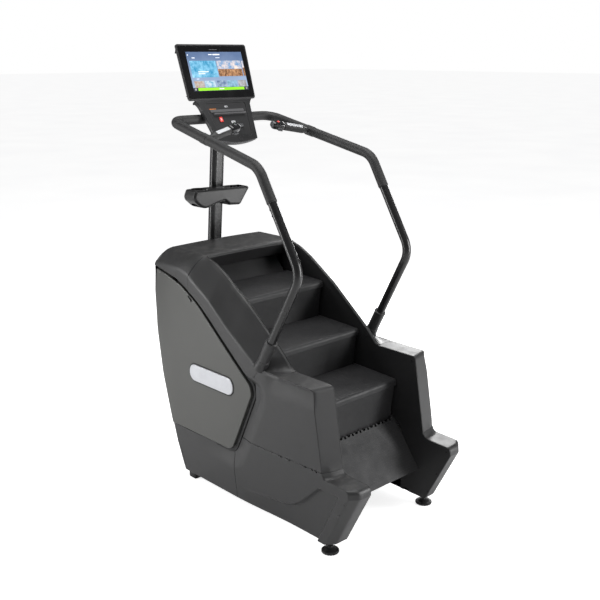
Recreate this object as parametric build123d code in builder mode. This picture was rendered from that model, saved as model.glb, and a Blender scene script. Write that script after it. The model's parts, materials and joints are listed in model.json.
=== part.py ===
from build123d import *
from math import atan2, cos, degrees, hypot, pi, radians, sin, sqrt
import os

# Stair climber. Millimetres, +Z up, the floor at z = 0.
# +X is to the user's right, +Y is the way the user faces, towards the console.

# Housing
inner_half = 281.0  # half of the clear width between the inner walls
outer_half = 392.0  # half of the width over the side housings
skin = 4.0  # wall of the moulded covers
wall = 3.0  # thickness of the sheet inner walls
seam = 1.5  # gap between neighbouring covers
arm_top = 788.0  # height of the flat armrests at the front
cover_foot = 61.0  # lower edge of the covers above the floor
crown_top = 1240.0
length_half = 738.0  # half of the length over the covers

# Stair loop: eight treads on two chains
step_run = 262.0
step_rise = 204.0
steps = 8
links_per_step = 16
sprocket_teeth = 24
tread_depth = 283.0
tread_fall = 11.0  # a tread drops this much from its rear edge to its nose
axle_drop = 30.0  # from the corner of tread and riser down to the step axle
top_corner = (417.0, 1064.0)  # rear edge of the top tread, as y and z
tread_half = 276.0
ear = 6.0  # thickness of the end plates of a tread
riser_half = 267.0
riser_thick = 8.0
tread_plate = 7.0
nose_r = 16.0
knee_r = 7.0
knee_room = 9.5
axle_r = 8.0
axle_end_r = 4.0
running = 0.05  # radial clearance of parts that turn on one another

pitch = hypot(step_run, step_rise)
link = pitch / links_per_step
sprocket_r = sprocket_teeth * link / (2 * pi)
free_links = (steps * links_per_step - sprocket_teeth) // 2 - 3 * links_per_step
lead = free_links / 2 * link  # straight chain between an end axle and its sprocket
down = Vector(0, -step_run / pitch, -step_rise / pitch)
out = Vector(0, -step_rise / pitch, step_run / pitch)
front_top = Vector(0, *top_corner) - out * axle_drop
upper_centre = front_top - down * lead - out * sprocket_r
lower_centre = upper_centre + down * (3 * pitch + 2 * lead)

# Places along X, the same on both sides
roller_x = 288.0
rail_x = 286.0
chain_x = 303.0
plate_x = 322.0  # inner face of the steel side plates
plate_thick = 6.0
pulley_x = 340.0

# Handrail
tube_r = 21.0
grip_r = 24.2
socket_r = 28.0
socket_foot = (376, -110, 785)  # foot of the rail on the user's right, and its bends in order
low_bend = (365, -372, 1280)
grip_share = 0.664  # share of the way from low_bend to high_bend where the foam begins
high_bend = (367.5, -106, 1726)
rail_corner = (326, 598, 1886)
bar_centre = (0, 598, 1886)
rail_bend_r = 110  # bends above and below the straight beside the user
front_bend_r = 70  # bend into the bar across the front
mast_half = 39.5
mast_depth = 50.0

# Console
screen_tilt = 18.5  # the screen leans back by this angle
panel_tilt = 30.2


def at_x(x, point):
    return (x, point.Y, point.Z)


def side_slab(points, low, high, mode=Mode.ADD):
    """Extrude an outline given as (y, z) points from x = low to x = high."""
    with BuildSketch(Plane.YZ.offset(low)) as face:
        with BuildLine():
            Polyline(*points, close=True)
        make_face()
    extrude(face.sketch, amount=high - low, mode=mode)


def rod(start, end, radius, mode=Mode.ADD):
    """A round bar between two points."""
    axis = Vector(*end) - Vector(*start)
    with BuildSketch(Plane(origin=start, z_dir=axis)) as face:
        Circle(radius)
    extrude(face.sketch, amount=axis.length, mode=mode)


def block(low, high, mode=Mode.ADD):
    """A box between its lowest and its highest corner."""
    size = Vector(*high) - Vector(*low)
    with Locations((Vector(*low) + Vector(*high)) * 0.5):
        Box(size.X, size.Y, size.Z, mode=mode)


def slope_plane(x, point):
    """A plane across X whose own x axis runs down the slope of the stairs."""
    return Plane(origin=at_x(x, point), x_dir=down, z_dir=(1, 0, 0))


# ---------------------------------------------------------------- stair loop


def axle(index):
    """Where step axle number index crosses x = 0. 0 to 3 go down the front, 4 to 7 come back."""
    if index < 4:
        return front_top + down * (pitch * index)
    turn_back = front_top + down * (3 * pitch) - out * (2 * sprocket_r)
    return turn_back - down * (pitch * (index - 4))


# A tread's corner, nose and knee hinge as (y, z) from its own axle, on the front run
corner = (out.Y * axle_drop, out.Z * axle_drop)
nose = (corner[0] - tread_depth, corner[1] - tread_fall)
knee = (nose[0] + nose_r - 2, nose[1] - nose_r)
# The same knee from the axle at the foot of the riser
riser_knee = (knee[0] + step_run, knee[1] + step_rise)
riser_nose = (nose[0] + step_run, nose[1] + step_rise)


def knee_of(index):
    """The knee hinge of a step whose tread starts at one axle and riser ends at the next."""
    start = axle(index)
    end = axle((index + 1) % steps)
    gap = end - start
    tread_link = hypot(*knee)
    riser_link = hypot(*riser_knee)
    along = (tread_link**2 - riser_link**2 + gap.length**2) / (2 * gap.length)
    aside = sqrt(tread_link**2 - along**2)
    way = gap.normalized()
    return start + way * along + Vector(0, way.Z, -way.Y) * aside


def tread_turn(index):
    """How far a tread is turned about its axle from its place on the front run."""
    reach = knee_of(index) - axle(index)
    return atan2(reach.Z, reach.Y) - atan2(knee[1], knee[0])


def riser_turn(index):
    reach = knee_of(index) - axle((index + 1) % steps)
    return atan2(reach.Z, reach.Y) - atan2(riser_knee[1], riser_knee[0])


def step_plane(x, origin, angle):
    return Plane(origin=at_x(x, origin), x_dir=(0, cos(angle), sin(angle)), z_dir=(1, 0, 0))


def tread(index, pinned):
    """A tread with ribs below, a rolled nose and end plates that reach its axle."""
    origin = axle(index)
    angle = tread_turn(index)
    rear = corner[0] - 2
    fall = tread_fall / tread_depth
    rib_depth = 18
    open_from = radians(-122)
    with BuildSketch(step_plane(-tread_half, origin, angle)) as face:
        with BuildLine():
            Polyline(
                (rear, corner[1]),
                (knee[0], knee[1] + nose_r),
                (knee[0], knee[1] + nose_r - tread_plate),
                (rear, corner[1] - tread_plate),
                close=True,
            )
        make_face()
        for share in (0.25, 0.5, 0.75):
            y = rear + share * (knee[0] - rear)
            top = corner[1] + fall * (y - corner[0])
            with Locations((y, top - rib_depth / 2 - 1)):
                Rectangle(3, rib_depth)
        with Locations(knee):
            Circle(nose_r)
            Circle(knee_room, mode=Mode.SUBTRACT)
        with BuildLine():
            reach = 2 * nose_r
            Polyline(
                knee,
                (knee[0] + reach * cos(open_from), knee[1] + reach * sin(open_from)),
                (knee[0] + reach, knee[1] - reach),
                (knee[0] + reach, knee[1] + 1),
                close=True,
            )
        make_face(mode=Mode.SUBTRACT)
    extrude(face.sketch, amount=2 * tread_half)
    for low in (-tread_half, tread_half - ear):
        with BuildSketch(step_plane(low, origin, angle)) as face:
            with BuildLine():
                Polyline(
                    (rear, corner[1]),
                    (knee[0], knee[1] + nose_r),
                    (knee[0] - nose_r + 3, knee[1] + 4),
                    (knee[0], knee[1] - nose_r + 4),
                    (knee[0] / 2, -9),
                    (-62, -9),
                    (0, -2 * axle_r),
                    (2 * axle_r, 0),
                    (0, 2 * axle_r),
                    close=True,
                )
            make_face()
            Circle(axle_r + running, mode=Mode.SUBTRACT)
        extrude(face.sketch, amount=ear)
    if pinned:
        pin_length = tread_half - riser_half + 12
        for low in (-tread_half, tread_half - pin_length):
            with BuildSketch(step_plane(low, origin, angle)) as face:
                with Locations(knee):
                    Circle(axle_end_r)
            extrude(face.sketch, amount=pin_length)


def riser(index):
    """A riser with a barrel round the axle at its foot and one in the tread's nose above it."""
    origin = axle((index + 1) % steps)
    angle = riser_turn(index)
    lean = (riser_nose[0] - corner[0]) / (riser_nose[1] - corner[1])
    top = riser_knee[1] - nose_r - 3
    top_y = corner[0] + lean * (top - corner[1])
    foot_y = corner[0] - lean * corner[1]
    with BuildSketch(step_plane(-riser_half, origin, angle)) as face:
        with BuildLine():
            Polyline(
                (top_y, top),
                (foot_y, 0),
                (foot_y + riser_thick, 0),
                (top_y + riser_thick, top - 6),
                (riser_knee[0] + 4, top),
                (riser_knee[0] + 4, riser_knee[1]),
                (riser_knee[0] - 4, riser_knee[1]),
                (riser_knee[0] - 5, top),
                close=True,
            )
        make_face()
        Circle(axle_r + 5)
        Circle(axle_r + running, mode=Mode.SUBTRACT)
        with Locations(riser_knee):
            Circle(knee_r)
            Circle(axle_end_r + running, mode=Mode.SUBTRACT)
    extrude(face.sketch, amount=2 * riser_half)


def step_axle(index):
    """A through axle with a guide roller and a thinner chain pin at each end."""
    origin = axle(index)
    rod(at_x(-300, origin), at_x(300, origin), axle_r)
    rod(at_x(-316, origin), at_x(316, origin), axle_end_r)
    for low in (-roller_x - 10, roller_x):
        rod(at_x(low, origin), at_x(low + 10, origin), 18)


with BuildPart() as front_treads:
    for number in (0, 1, 2):
        tread(number, pinned=True)

with BuildPart() as front_risers:
    for number in (0, 1, 2):
        riser(number)

with BuildPart() as lower_turning_tread:
    tread(3, pinned=False)

with BuildPart() as lower_turning_riser:
    riser(3)

with BuildPart() as return_treads:
    for number in (4, 5, 6):
        tread(number, pinned=True)

with BuildPart() as return_risers:
    for number in (4, 5, 6):
        riser(number)

with BuildPart() as upper_turning_tread:
    tread(7, pinned=False)

with BuildPart() as upper_turning_riser:
    riser(7)

with BuildPart() as front_step_axles:
    for number in (0, 1, 2, 3):
        step_axle(number)

with BuildPart() as return_step_axles:
    for number in (4, 5, 6, 7):
        step_axle(number)


# ---------------------------------------------------------------- chains and shafts

plate_height = 14.0
roller_r = 5.8
chain_width = 10.5
side_plate = 1.5


def chain_span(first, count, pins):
    """Straight chain on both sides: plates outside a row of rollers, bored where axles enter."""
    middle = first + down * (link * (count - 1) / 2)
    for x in (chain_x, -chain_x - chain_width):
        for low in (x, x + chain_width - side_plate):
            with BuildSketch(slope_plane(low, middle)) as face:
                SlotCenterToCenter(link * (count - 1), plate_height)
            extrude(face.sketch, amount=side_plate)
        with BuildSketch(slope_plane(x, middle)) as face:
            with GridLocations(link, 1, count, 1):
                Circle(roller_r)
        extrude(face.sketch, amount=chain_width)
    for pin in pins:
        rod(at_x(-330, pin), at_x(330, pin), axle_end_r + running, mode=Mode.SUBTRACT)


def chain_wrap(centre, first_angle, count):
    """Chain round a sprocket on both sides, from first_angle on, one roller for each tooth."""
    tooth = 360 / sprocket_teeth
    overhang = degrees(plate_height / 2 / sprocket_r)
    start = first_angle - overhang
    span = tooth * (count - 1) + 2 * overhang
    for x in (chain_x, -chain_x - chain_width):
        for low in (x, x + chain_width - side_plate):
            with BuildSketch(slope_plane(low, centre)) as face:
                with BuildLine():
                    outer = CenterArc((0, 0), sprocket_r + plate_height / 2, start, span)
                    inner = CenterArc((0, 0), sprocket_r - plate_height / 2, start, span)
                    Line(outer @ 0, inner @ 0)
                    Line(outer @ 1, inner @ 1)
                make_face()
            extrude(face.sketch, amount=side_plate)
        with BuildSketch(slope_plane(x, centre)) as face:
            with PolarLocations(sprocket_r, count, first_angle, tooth * (count - 1), endpoint=True):
                Circle(roller_r)
        extrude(face.sketch, amount=chain_width)


def sprocket_shaft(centre, half_length):
    """A shaft with a welded sprocket near each end."""
    shaft_r = 12.5
    tooth_height = 1.2
    pocket = roller_r + 0.5
    rod(at_x(-half_length, centre), at_x(half_length, centre), shaft_r)
    for low in (chain_x + 2, -chain_x - 2 - 6.5):
        with BuildSketch(slope_plane(low, centre)) as face:
            Circle(sprocket_r + tooth_height)
            with PolarLocations(sprocket_r, sprocket_teeth):
                Circle(pocket, mode=Mode.SUBTRACT)
            with PolarLocations(sprocket_r * 0.55, 6, 30):
                Circle(13, mode=Mode.SUBTRACT)
        extrude(face.sketch, amount=6.5)
        rod(at_x(low - 4, centre), at_x(low + 10.5, centre), 24)


extra = int(free_links / 2)
with BuildPart() as front_chains:
    span_pins = [axle(number) for number in (0, 1, 2, 3)]
    chain_span(axle(0), 3 * links_per_step + extra + 1, span_pins)

with BuildPart() as return_chains:
    span_pins = [axle(number) for number in (4, 5, 6, 7)]
    return_end = axle(7) - down * (link * extra)
    chain_span(return_end, 3 * links_per_step + extra + 1, span_pins)

with BuildPart() as upper_chain_wraps:
    chain_wrap(upper_centre, 105, sprocket_teeth // 2)

with BuildPart() as lower_chain_wraps:
    chain_wrap(lower_centre, -75, sprocket_teeth // 2)

with BuildPart() as upper_shaft:
    sprocket_shaft(upper_centre, 366)

with BuildPart() as lower_shaft:
    sprocket_shaft(lower_centre, 340)

bearing_r = 26.0
with BuildPart() as shaft_bearings:
    for centre in (upper_centre, lower_centre):
        for low in (plate_x - 1, -plate_x - 8 + 1):
            rod(at_x(low, centre), at_x(low + 8, centre), bearing_r)
        rod(at_x(-400, centre), at_x(400, centre), 12.5 + running, mode=Mode.SUBTRACT)

# ---------------------------------------------------------------- drive

pulley_r = 130.0
rotor_pulley_r = 30.0
belt_thick = 3.0
belt_width = 16.0
rotor_centre = Vector(0, 420, 400)
alternator_r = 78.0

with BuildPart() as drive_pulley:
    rod(at_x(-pulley_x - 20, upper_centre), at_x(-pulley_x, upper_centre), pulley_r)
    with BuildSketch(slope_plane(-pulley_x - 21, upper_centre)):
        with PolarLocations(80, 5):
            Circle(26)
    extrude(amount=22, mode=Mode.SUBTRACT)
    rod(at_x(-400, upper_centre), at_x(-300, upper_centre), 12.5 + running, mode=Mode.SUBTRACT)

with BuildPart() as alternator_rotor:
    rod(at_x(-366, rotor_centre), at_x(-190, rotor_centre), 9)
    rod(at_x(-pulley_x - 20, rotor_centre), at_x(-pulley_x, rotor_centre), rotor_pulley_r)

with BuildPart() as drive_belt:
    belt_low = -pulley_x - 18
    belt_plane = Plane.YZ.offset(belt_low)
    span_gap = Vector(0, upper_centre.Y - rotor_centre.Y, upper_centre.Z - rotor_centre.Z)
    around = span_gap.length
    heading = degrees(atan2(span_gap.Z, span_gap.Y))
    for radius_gain, how in ((running + belt_thick, Mode.ADD), (running, Mode.SUBTRACT)):
        big = pulley_r + radius_gain
        small = rotor_pulley_r + radius_gain
        wrap = degrees(atan2(sqrt(around**2 - (big - small) ** 2), small - big))
        with BuildSketch(belt_plane):
            with BuildLine():
                small_at = (rotor_centre.Y, rotor_centre.Z)
                big_at = (upper_centre.Y, upper_centre.Z)
                near = CenterArc(small_at, small, heading + wrap, 360 - 2 * wrap)
                far = CenterArc(big_at, big, heading - wrap, 2 * wrap)
                Line(near @ 1, far @ 0)
                Line(far @ 1, near @ 0)
            make_face()
        extrude(amount=belt_width, mode=how)

with BuildPart() as alternator:
    rod(at_x(-310, rotor_centre), at_x(-200, rotor_centre), alternator_r)
    rod(at_x(-305, rotor_centre), at_x(-180, rotor_centre), 20)
    base_low = (-290, rotor_centre.Y - 60, rotor_centre.Z - 110)
    block(base_low, (-220, rotor_centre.Y + 60, rotor_centre.Z - 60))
    rod(at_x(-400, rotor_centre), at_x(-170, rotor_centre), 9 + running, mode=Mode.SUBTRACT)

with BuildPart() as controller_box:
    block((60, 370, 290), (240, 470, 430))
    fillet(controller_box.edges().filter_by(Axis.X), 6)
    with BuildSketch(Plane.XY.offset(430)):
        with Locations((150, 420)):
            with GridLocations(20, 1, 7, 1):
                Rectangle(5, 70)
    extrude(amount=8)

# ---------------------------------------------------------------- frame

rail_depth = 10.0
foot_y = -544.0
foot_x = 337.0
bar_y = (463.0, 515.0)
mast_lean = radians(5.0)
frame_low = 75.0

with BuildPart() as base_frame:
    # A steel plate on each side carries both shafts.
    plate_outline = [
        (lower_centre.Y - 60, lower_centre.Z + 20),
        (lower_centre.Y - 40, frame_low + 40),
        (bar_y[1] - 18, frame_low + 40),
        (640, 700),
        (712, 1000),
        (712, 1135),
        (600, 1160),
        (upper_centre.Y - 70, upper_centre.Z + 30),
        (lower_centre.Y - 10, lower_centre.Z + 60),
    ]
    side_slab(plate_outline, plate_x, plate_x + plate_thick)
    for centre in (upper_centre, lower_centre):
        rod(at_x(plate_x - 5, centre), at_x(plate_x + 10, centre), bearing_r, mode=Mode.SUBTRACT)
    window = [(100, 260), (400, 260), (520, 620), (480, 760)]
    side_slab(window, plate_x - 1, plate_x + plate_thick + 1, mode=Mode.SUBTRACT)
    # A square tube along the floor, from the front foot to the rear bar.
    block((plate_x + plate_thick, foot_y - 35, frame_low), (plate_x + 46, bar_y[1] - 18, frame_low + 40))
    block((plate_x, lower_centre.Y - 40, frame_low + 10), (plate_x + 8, bar_y[1] - 18, frame_low + 60))
    # A post under each handrail socket.
    block((plate_x + plate_thick, -135, frame_low + 39), (plate_x + 60, -85, 768))
    # Guide rails for the rollers, under the front run and under the return run.
    for level in (axle_drop + 18.5, axle_drop + 2 * sprocket_r + 18.5):
        middle = Vector(0, *top_corner) + down * (1.5 * pitch) - out * (level + rail_depth / 2)
        with BuildSketch(slope_plane(rail_x, middle)):
            Rectangle(3 * pitch + 2 * lead, rail_depth)
        extrude(amount=14)
        for place in (-1.1, 0, 1.1):
            with BuildSketch(slope_plane(rail_x + 13, middle + down * (place * pitch))):
                Rectangle(60, rail_depth)
            extrude(amount=plate_x - rail_x - 12)
    mirror(about=Plane.YZ)
    # Rear bar on the floor and its two uprights.
    block((-345, bar_y[0], 0), (345, bar_y[1], 50))
    for x in (-345, 309):
        block((x, bar_y[0] + 5, 49), (x + 36, bar_y[1] - 18, frame_low + 45))
    # Cross tubes tie the two sides together behind and under the stairs.
    block((-plate_x - 1, 540, 560), (plate_x + 1, 580, 600))
    block((-plate_x - 1, 668, 1080), (plate_x + 1, 712, 1130))
    block((-plate_x - 1, 430, frame_low + 40), (plate_x + 1, 490, frame_low + 80))
    # Stand for the alternator and the controller.
    block((-300, 350, 260), (260, 480, 266))
    for x in (-296, 226):
        block((x, 440, frame_low + 75), (x + 30, 470, 261))
    # Threaded plates for the front feet.
    for x in (-foot_x, foot_x):
        rod((x, foot_y, frame_low - 20), (x, foot_y, frame_low + 50), 6 + running, mode=Mode.SUBTRACT)

with BuildPart() as rear_foot_caps:
    for low in (-353, 345.5):
        block((low, bar_y[0] - 1, 0.5), (low + 7.5, bar_y[1] + 1, 51))
    fillet(rear_foot_caps.edges().filter_by(Axis.X), 4)


def levelling_foot(x):
    """A round scalloped foot on a threaded stud."""
    foot_r = 41.5
    with BuildSketch() as face:
        with Locations((x, foot_y)):
            Circle(foot_r)
            with PolarLocations(foot_r + 2, 18):
                Circle(4, mode=Mode.SUBTRACT)
    extrude(face.sketch, amount=14)
    with Locations((x, foot_y, 14)):
        Cone(30, 13, 10, align=(Align.CENTER, Align.CENTER, Align.MIN))
    rod((x, foot_y, 10), (x, foot_y, frame_low + 45), 6)


with BuildPart() as levelling_foot_left:
    levelling_foot(-foot_x)

with BuildPart() as levelling_foot_right:
    levelling_foot(foot_x)

# ---------------------------------------------------------------- covers

# Upper edge of an inner wall, from the crown down to the front of the armrest, as (y, z).
wall_top = [
    (393, 1235),
    (324, 1209),
    (249, 1171),
    (66, 1052),
    (-180, 856),
    (-248, arm_top),
    (-500, arm_top),
]
# Front of a side housing, from the armrest down to the toe and the floor edge.
wall_front = [(-569, 409), (-586, 384), (-734, 380), (-length_half, 341), (-595, cover_foot)]


def chain_line(y, below):
    """Height of the line through the corners of the steps, lowered square to itself."""
    return top_corner[1] + (y - top_corner[0]) * step_rise / step_run - below * pitch / step_run


def inner_wall():
    """Right inner wall: clear of the step axles below the stairs and round the lower sprocket."""
    below = 8.0
    notch_y = -472.0
    swept = sprocket_r + axle_drop - below
    outline = wall_top + wall_front
    outline += [
        (lower_centre.Y - swept, cover_foot),
        (lower_centre.Y - swept, lower_centre.Z),
        (lower_centre.Y, lower_centre.Z),
        (lower_centre.Y + out.Y * swept, lower_centre.Z + out.Z * swept),
        (upper_centre.Y - 60, chain_line(upper_centre.Y - 60, below)),
        (upper_centre.Y - 60, 1235),
    ]
    side_slab(outline, inner_half, inner_half + wall)
    rod(
        (inner_half - 1, lower_centre.Y, lower_centre.Z),
        (inner_half + wall + 1, lower_centre.Y, lower_centre.Z),
        swept,
        mode=Mode.SUBTRACT,
    )
    rod(
        (inner_half - 1, notch_y, cover_foot),
        (inner_half + wall + 1, notch_y, cover_foot),
        16,
        mode=Mode.SUBTRACT,
    )


with BuildPart() as inner_wall_right:
    inner_wall()

with BuildPart() as inner_wall_left:
    inner_wall()
    mirror(about=Plane.YZ, mode=Mode.REPLACE)

# Outline of the grey side cover as (y, z), with rounded corners.
side_cover_x = 389.0
side_outline = [
    (704, 1140),
    (611, 1127),
    (483, 1090),
    (345, 1020),
    (158, 874),
    (-56, 696),
    (-69, 651),
    (43, 402),
    (100, 304),
    (598, 298),
    (680, 560),
    (725, 807),
    (724, 1006),
]


def side_cover_room(grow, low, high, mode):
    with BuildSketch(Plane.YZ.offset(low)) as face:
        with BuildLine():
            Polyline(*side_outline, close=True)
        make_face()
        offset(amount=grow, kind=Kind.ARC)
    extrude(face.sketch, amount=high - low, mode=mode)


def shell(outline, room):
    """Right side housing: an outline filled across X, then emptied but for its outer skin."""
    inner = inner_half + wall + seam
    side_slab(outline, inner, outer_half)
    side_slab(room, inner - 1, outer_half - skin, mode=Mode.SUBTRACT)
    side_cover_room(4, outer_half - skin - 2, outer_half + 2, Mode.SUBTRACT)


def socket_room():
    """Opening round a handrail socket."""
    foot = Vector(*socket_foot)
    way = (Vector(*low_bend) - foot).normalized()
    rod(tuple(foot - way * 60), tuple(foot + way * 200), socket_r + 1.5, mode=Mode.SUBTRACT)


def front_arm():
    """Armrest and the front face below it."""
    outline = [(-122, arm_top), (-500, arm_top), (-566, 411), (80, 393), (80, 560), (-66, 729)]
    room = [(-100, 784), (-496.6, 784), (-562, 409), (-562, 380), (120, 380), (120, 784)]
    shell(outline, room)
    socket_room()


with BuildPart() as side_cover_right:
    side_cover_room(-3, side_cover_x, side_cover_x + skin, Mode.ADD)
    chamfer(side_cover_right.edges().group_by(Axis.X)[-1], 1.5)

with BuildPart() as side_cover_left:
    side_cover_room(-3, side_cover_x, side_cover_x + skin, Mode.ADD)
    chamfer(side_cover_left.edges().group_by(Axis.X)[-1], 1.5)
    mirror(about=Plane.YZ, mode=Mode.REPLACE)

badge_centre = (246, 642)
with BuildPart() as side_badges:
    with BuildSketch(Plane.YZ.offset(side_cover_x + skin)):
        with Locations(badge_centre):
            SlotOverall(354, 96)
    extrude(amount=3)
    chamfer(side_badges.edges().group_by(Axis.X)[-1], 1)
    mirror(about=Plane.YZ)

with BuildPart() as front_arm_right:
    front_arm()

with BuildPart() as front_arm_left:
    front_arm()
    mirror(about=Plane.YZ, mode=Mode.REPLACE)

with BuildPart() as lower_front_covers:
    toe = [(-566.3, 409.5), (-586, 384), (-734, 380), (-length_half, 341), (-595, cover_foot)]
    shell(
        toe + [(56, cover_foot), (92, 300), (92, 391)],
        [
            (-560, 420),
            (-562.2, 408),
            (-584, 380),
            (-730, 376),
            (-734, 342),
            (-592.6, 65),
            (120, 65),
            (120, 420),
        ],
    )
    rod((foot_x, foot_y, cover_foot - 5), (foot_x, foot_y, 70), 30, mode=Mode.SUBTRACT)
    mirror(about=Plane.YZ)

with BuildPart() as lower_rear_covers:
    shell(
        [(94, 300), (58, cover_foot), (491, cover_foot), (499, 90), (590, 300)],
        [(40, 65), (700, 65), (700, 400), (40, 400)],
    )
    block((300, bar_y[0] - 5, 0), (360, bar_y[1] + 5, 90), mode=Mode.SUBTRACT)
    mirror(about=Plane.YZ)

with BuildPart() as slope_covers:
    # Sloping top face, falling outwards, and the narrow side face below it.
    fall_out = 136.0
    side_drop = 130.0
    path_points = [(0, y, z) for y, z in ((330, 1203), (249, 1163), (66, 1045), (-180, 849), (-240, 787))]
    for (start, end) in zip(path_points, path_points[1:]):
        inner = inner_half + wall + seam
        way = Vector(*end) - Vector(*start)
        section = Plane(origin=(inner, start[1], start[2]), x_dir=(1, 0, 0), z_dir=(0, -1, 0))
        with BuildSketch(section):
            with BuildLine():
                across = outer_half - inner
                Polyline(
                    (0, 0),
                    (12, 0),
                    (across, fall_out * -1),
                    (across, -fall_out - side_drop),
                    (across - skin, -fall_out - side_drop),
                    (across - skin, -fall_out - 2),
                    (10, -skin),
                    (0, -skin),
                    close=True,
                )
            make_face()
        extrude(amount=way.length, dir=way.normalized())
    arm_side = [(82, 300), (-400, 300), (-400, 1000), (-119, 791), (-64, 731), (82, 562)]
    side_slab(arm_side, 200, 500, mode=Mode.SUBTRACT)
    socket_room()
    side_cover_room(4, outer_half - skin - 2, outer_half + 2, Mode.SUBTRACT)
    mirror(about=Plane.YZ)


def mast_plane():
    """Foot of the mast, standing up its leaning axis."""
    foot = (0, 703.6, 1150)
    return Plane(origin=foot, x_dir=(1, 0, 0), z_dir=(0, -sin(mast_lean), cos(mast_lean)))


def mast_room(grow):
    with BuildSketch(mast_plane().offset(-60)) as face:
        RectangleRounded(2 * (mast_half + grow), mast_depth + 2 * grow, mast_depth / 2 - 1 + grow)
    extrude(face.sketch, amount=300, mode=Mode.SUBTRACT)


with BuildPart() as top_housing:
    with BuildSketch(Plane.XZ.offset(-393)):
        with BuildLine():
            Polyline(
                (-outer_half, 1150),
                (-outer_half, 1172),
                (-352, 1216),
                (-290, crown_top),
                (290, crown_top),
                (352, 1216),
                (outer_half, 1172),
                (outer_half, 1150),
                (outer_half - skin, 1150),
                (outer_half - skin, 1170),
                (350, 1212),
                (289, crown_top - skin),
                (-289, crown_top - skin),
                (-350, 1212),
                (skin - outer_half, 1170),
                (skin - outer_half, 1150),
                close=True,
            )
        make_face()
    extrude(amount=-(664 - 393))
    mast_room(2)

rear_line = [(671, 1236), (722, 1140), (length_half, 1006), (730, 807), (597, 306), (505, 90)]
rear_inside = [(501, 91), (593, 307), (726, 807.5), (734, 1005), (718, 1138.5), (667, 1235)]
with BuildPart() as rear_cover:
    side_slab(rear_line + rear_inside, -outer_half, outer_half)
    side_skin = rear_line[:-1] + [(594, 302), (560, 302), (640, 800), (667, 1130)]
    for low in (-outer_half, outer_half - skin):
        side_slab(side_skin, low, low + skin)
    side_cover_room(4, outer_half - skin - 2, outer_half + 2, Mode.SUBTRACT)
    side_cover_room(4, -outer_half - 2, -outer_half + skin + 2, Mode.SUBTRACT)
    mast_room(2)
    # Cooling slots low in the back and an opening for the power inlet.
    for z in range(380, 540, 22):
        block((-150, 580, z), (150, 720, z + 8), mode=Mode.SUBTRACT)
    block((-262, 480, 170), (-198, 620, 230), mode=Mode.SUBTRACT)

with BuildPart() as back_plate:
    side_slab([(396, 1228), (402, 1228), (470, 1135), (464, 1135)], 2 - inner_half, inner_half - 2)

with BuildPart() as step_ramp:
    ramp_top = Vector(0, -380, 440)
    ramp_foot = Vector(0, -550, 211)
    slant = (ramp_foot - ramp_top).normalized()
    face_out = Vector(0, slant.Z, -slant.Y)
    ramp_length = (ramp_foot - ramp_top).length
    ramp_plane = Plane(origin=at_x(0, ramp_top), x_dir=(1, 0, 0), z_dir=face_out)
    ramp_width = 2 * inner_half - 2
    with BuildSketch(ramp_plane):
        with Locations((0, -ramp_length / 2)):
            Rectangle(ramp_width, ramp_length)
        with GridLocations(54, 1, 10, 1):
            Circle(11, mode=Mode.SUBTRACT)
        with Locations((0, -9)):
            with GridLocations(54, 1, 9, 1):
                Rectangle(4, 14, mode=Mode.SUBTRACT)
    extrude(amount=-3)

with BuildPart() as wall_screws:
    screw_places = [
        (81, 1016),
        (-177, 817),
        (-346, 763),
        (-480, 763),
        (-545, 432),
        (-714, 357),
        (-660, 221),
        (-609, 107),
    ]
    for y, z in screw_places:
        rod((inner_half - 1.5, y, z), (inner_half, y, z), 4.5)
    mirror(about=Plane.YZ)

# ---------------------------------------------------------------- power inlet

with BuildPart() as power_inlet:
    block((-258, 485, 174), (-202, 560, 226))
    fillet(power_inlet.edges().filter_by(Axis.Y), 4)
    block((-252, 540, 182), (-228, 561, 218), mode=Mode.SUBTRACT)
    block((-223, 545, 190), (-207, 561, 210), mode=Mode.SUBTRACT)

with BuildPart() as power_switch:
    switch_axis = ((-222.4, 553, 200), (-207.6, 553, 200))
    rod(switch_axis[0], switch_axis[1], 7)
    with BuildSketch(Plane.YZ.offset(-222.4)):
        with Locations((560, 200)):
            RectangleRounded(6, 15, 2.5)
    extrude(amount=14.8)

# ---------------------------------------------------------------- mast and tray

with BuildPart() as mast:
    with BuildSketch(mast_plane()):
        RectangleRounded(2 * mast_half, mast_depth, mast_depth / 2 - 1)
    extrude(amount=778)
    block((-60, 668, 1130), (60, 700, 1150.5))
    block((-30, 600, 1860), (30, 640, 1912))
    screen_plane = Plane(
        origin=(0, 592, 1980),
        x_dir=(1, 0, 0),
        z_dir=(0, -cos(radians(screen_tilt)), sin(radians(screen_tilt))),
    )
    with BuildSketch(screen_plane.offset(-38)):
        with Locations((0, 60)):
            RectangleRounded(120, 130, 10)
    extrude(amount=-10)
    block((-28, 642, 1915), (28, 664, 1990))
    rod((-80, 598, 1886), (80, 598, 1886), tube_r + running, mode=Mode.SUBTRACT)

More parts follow.
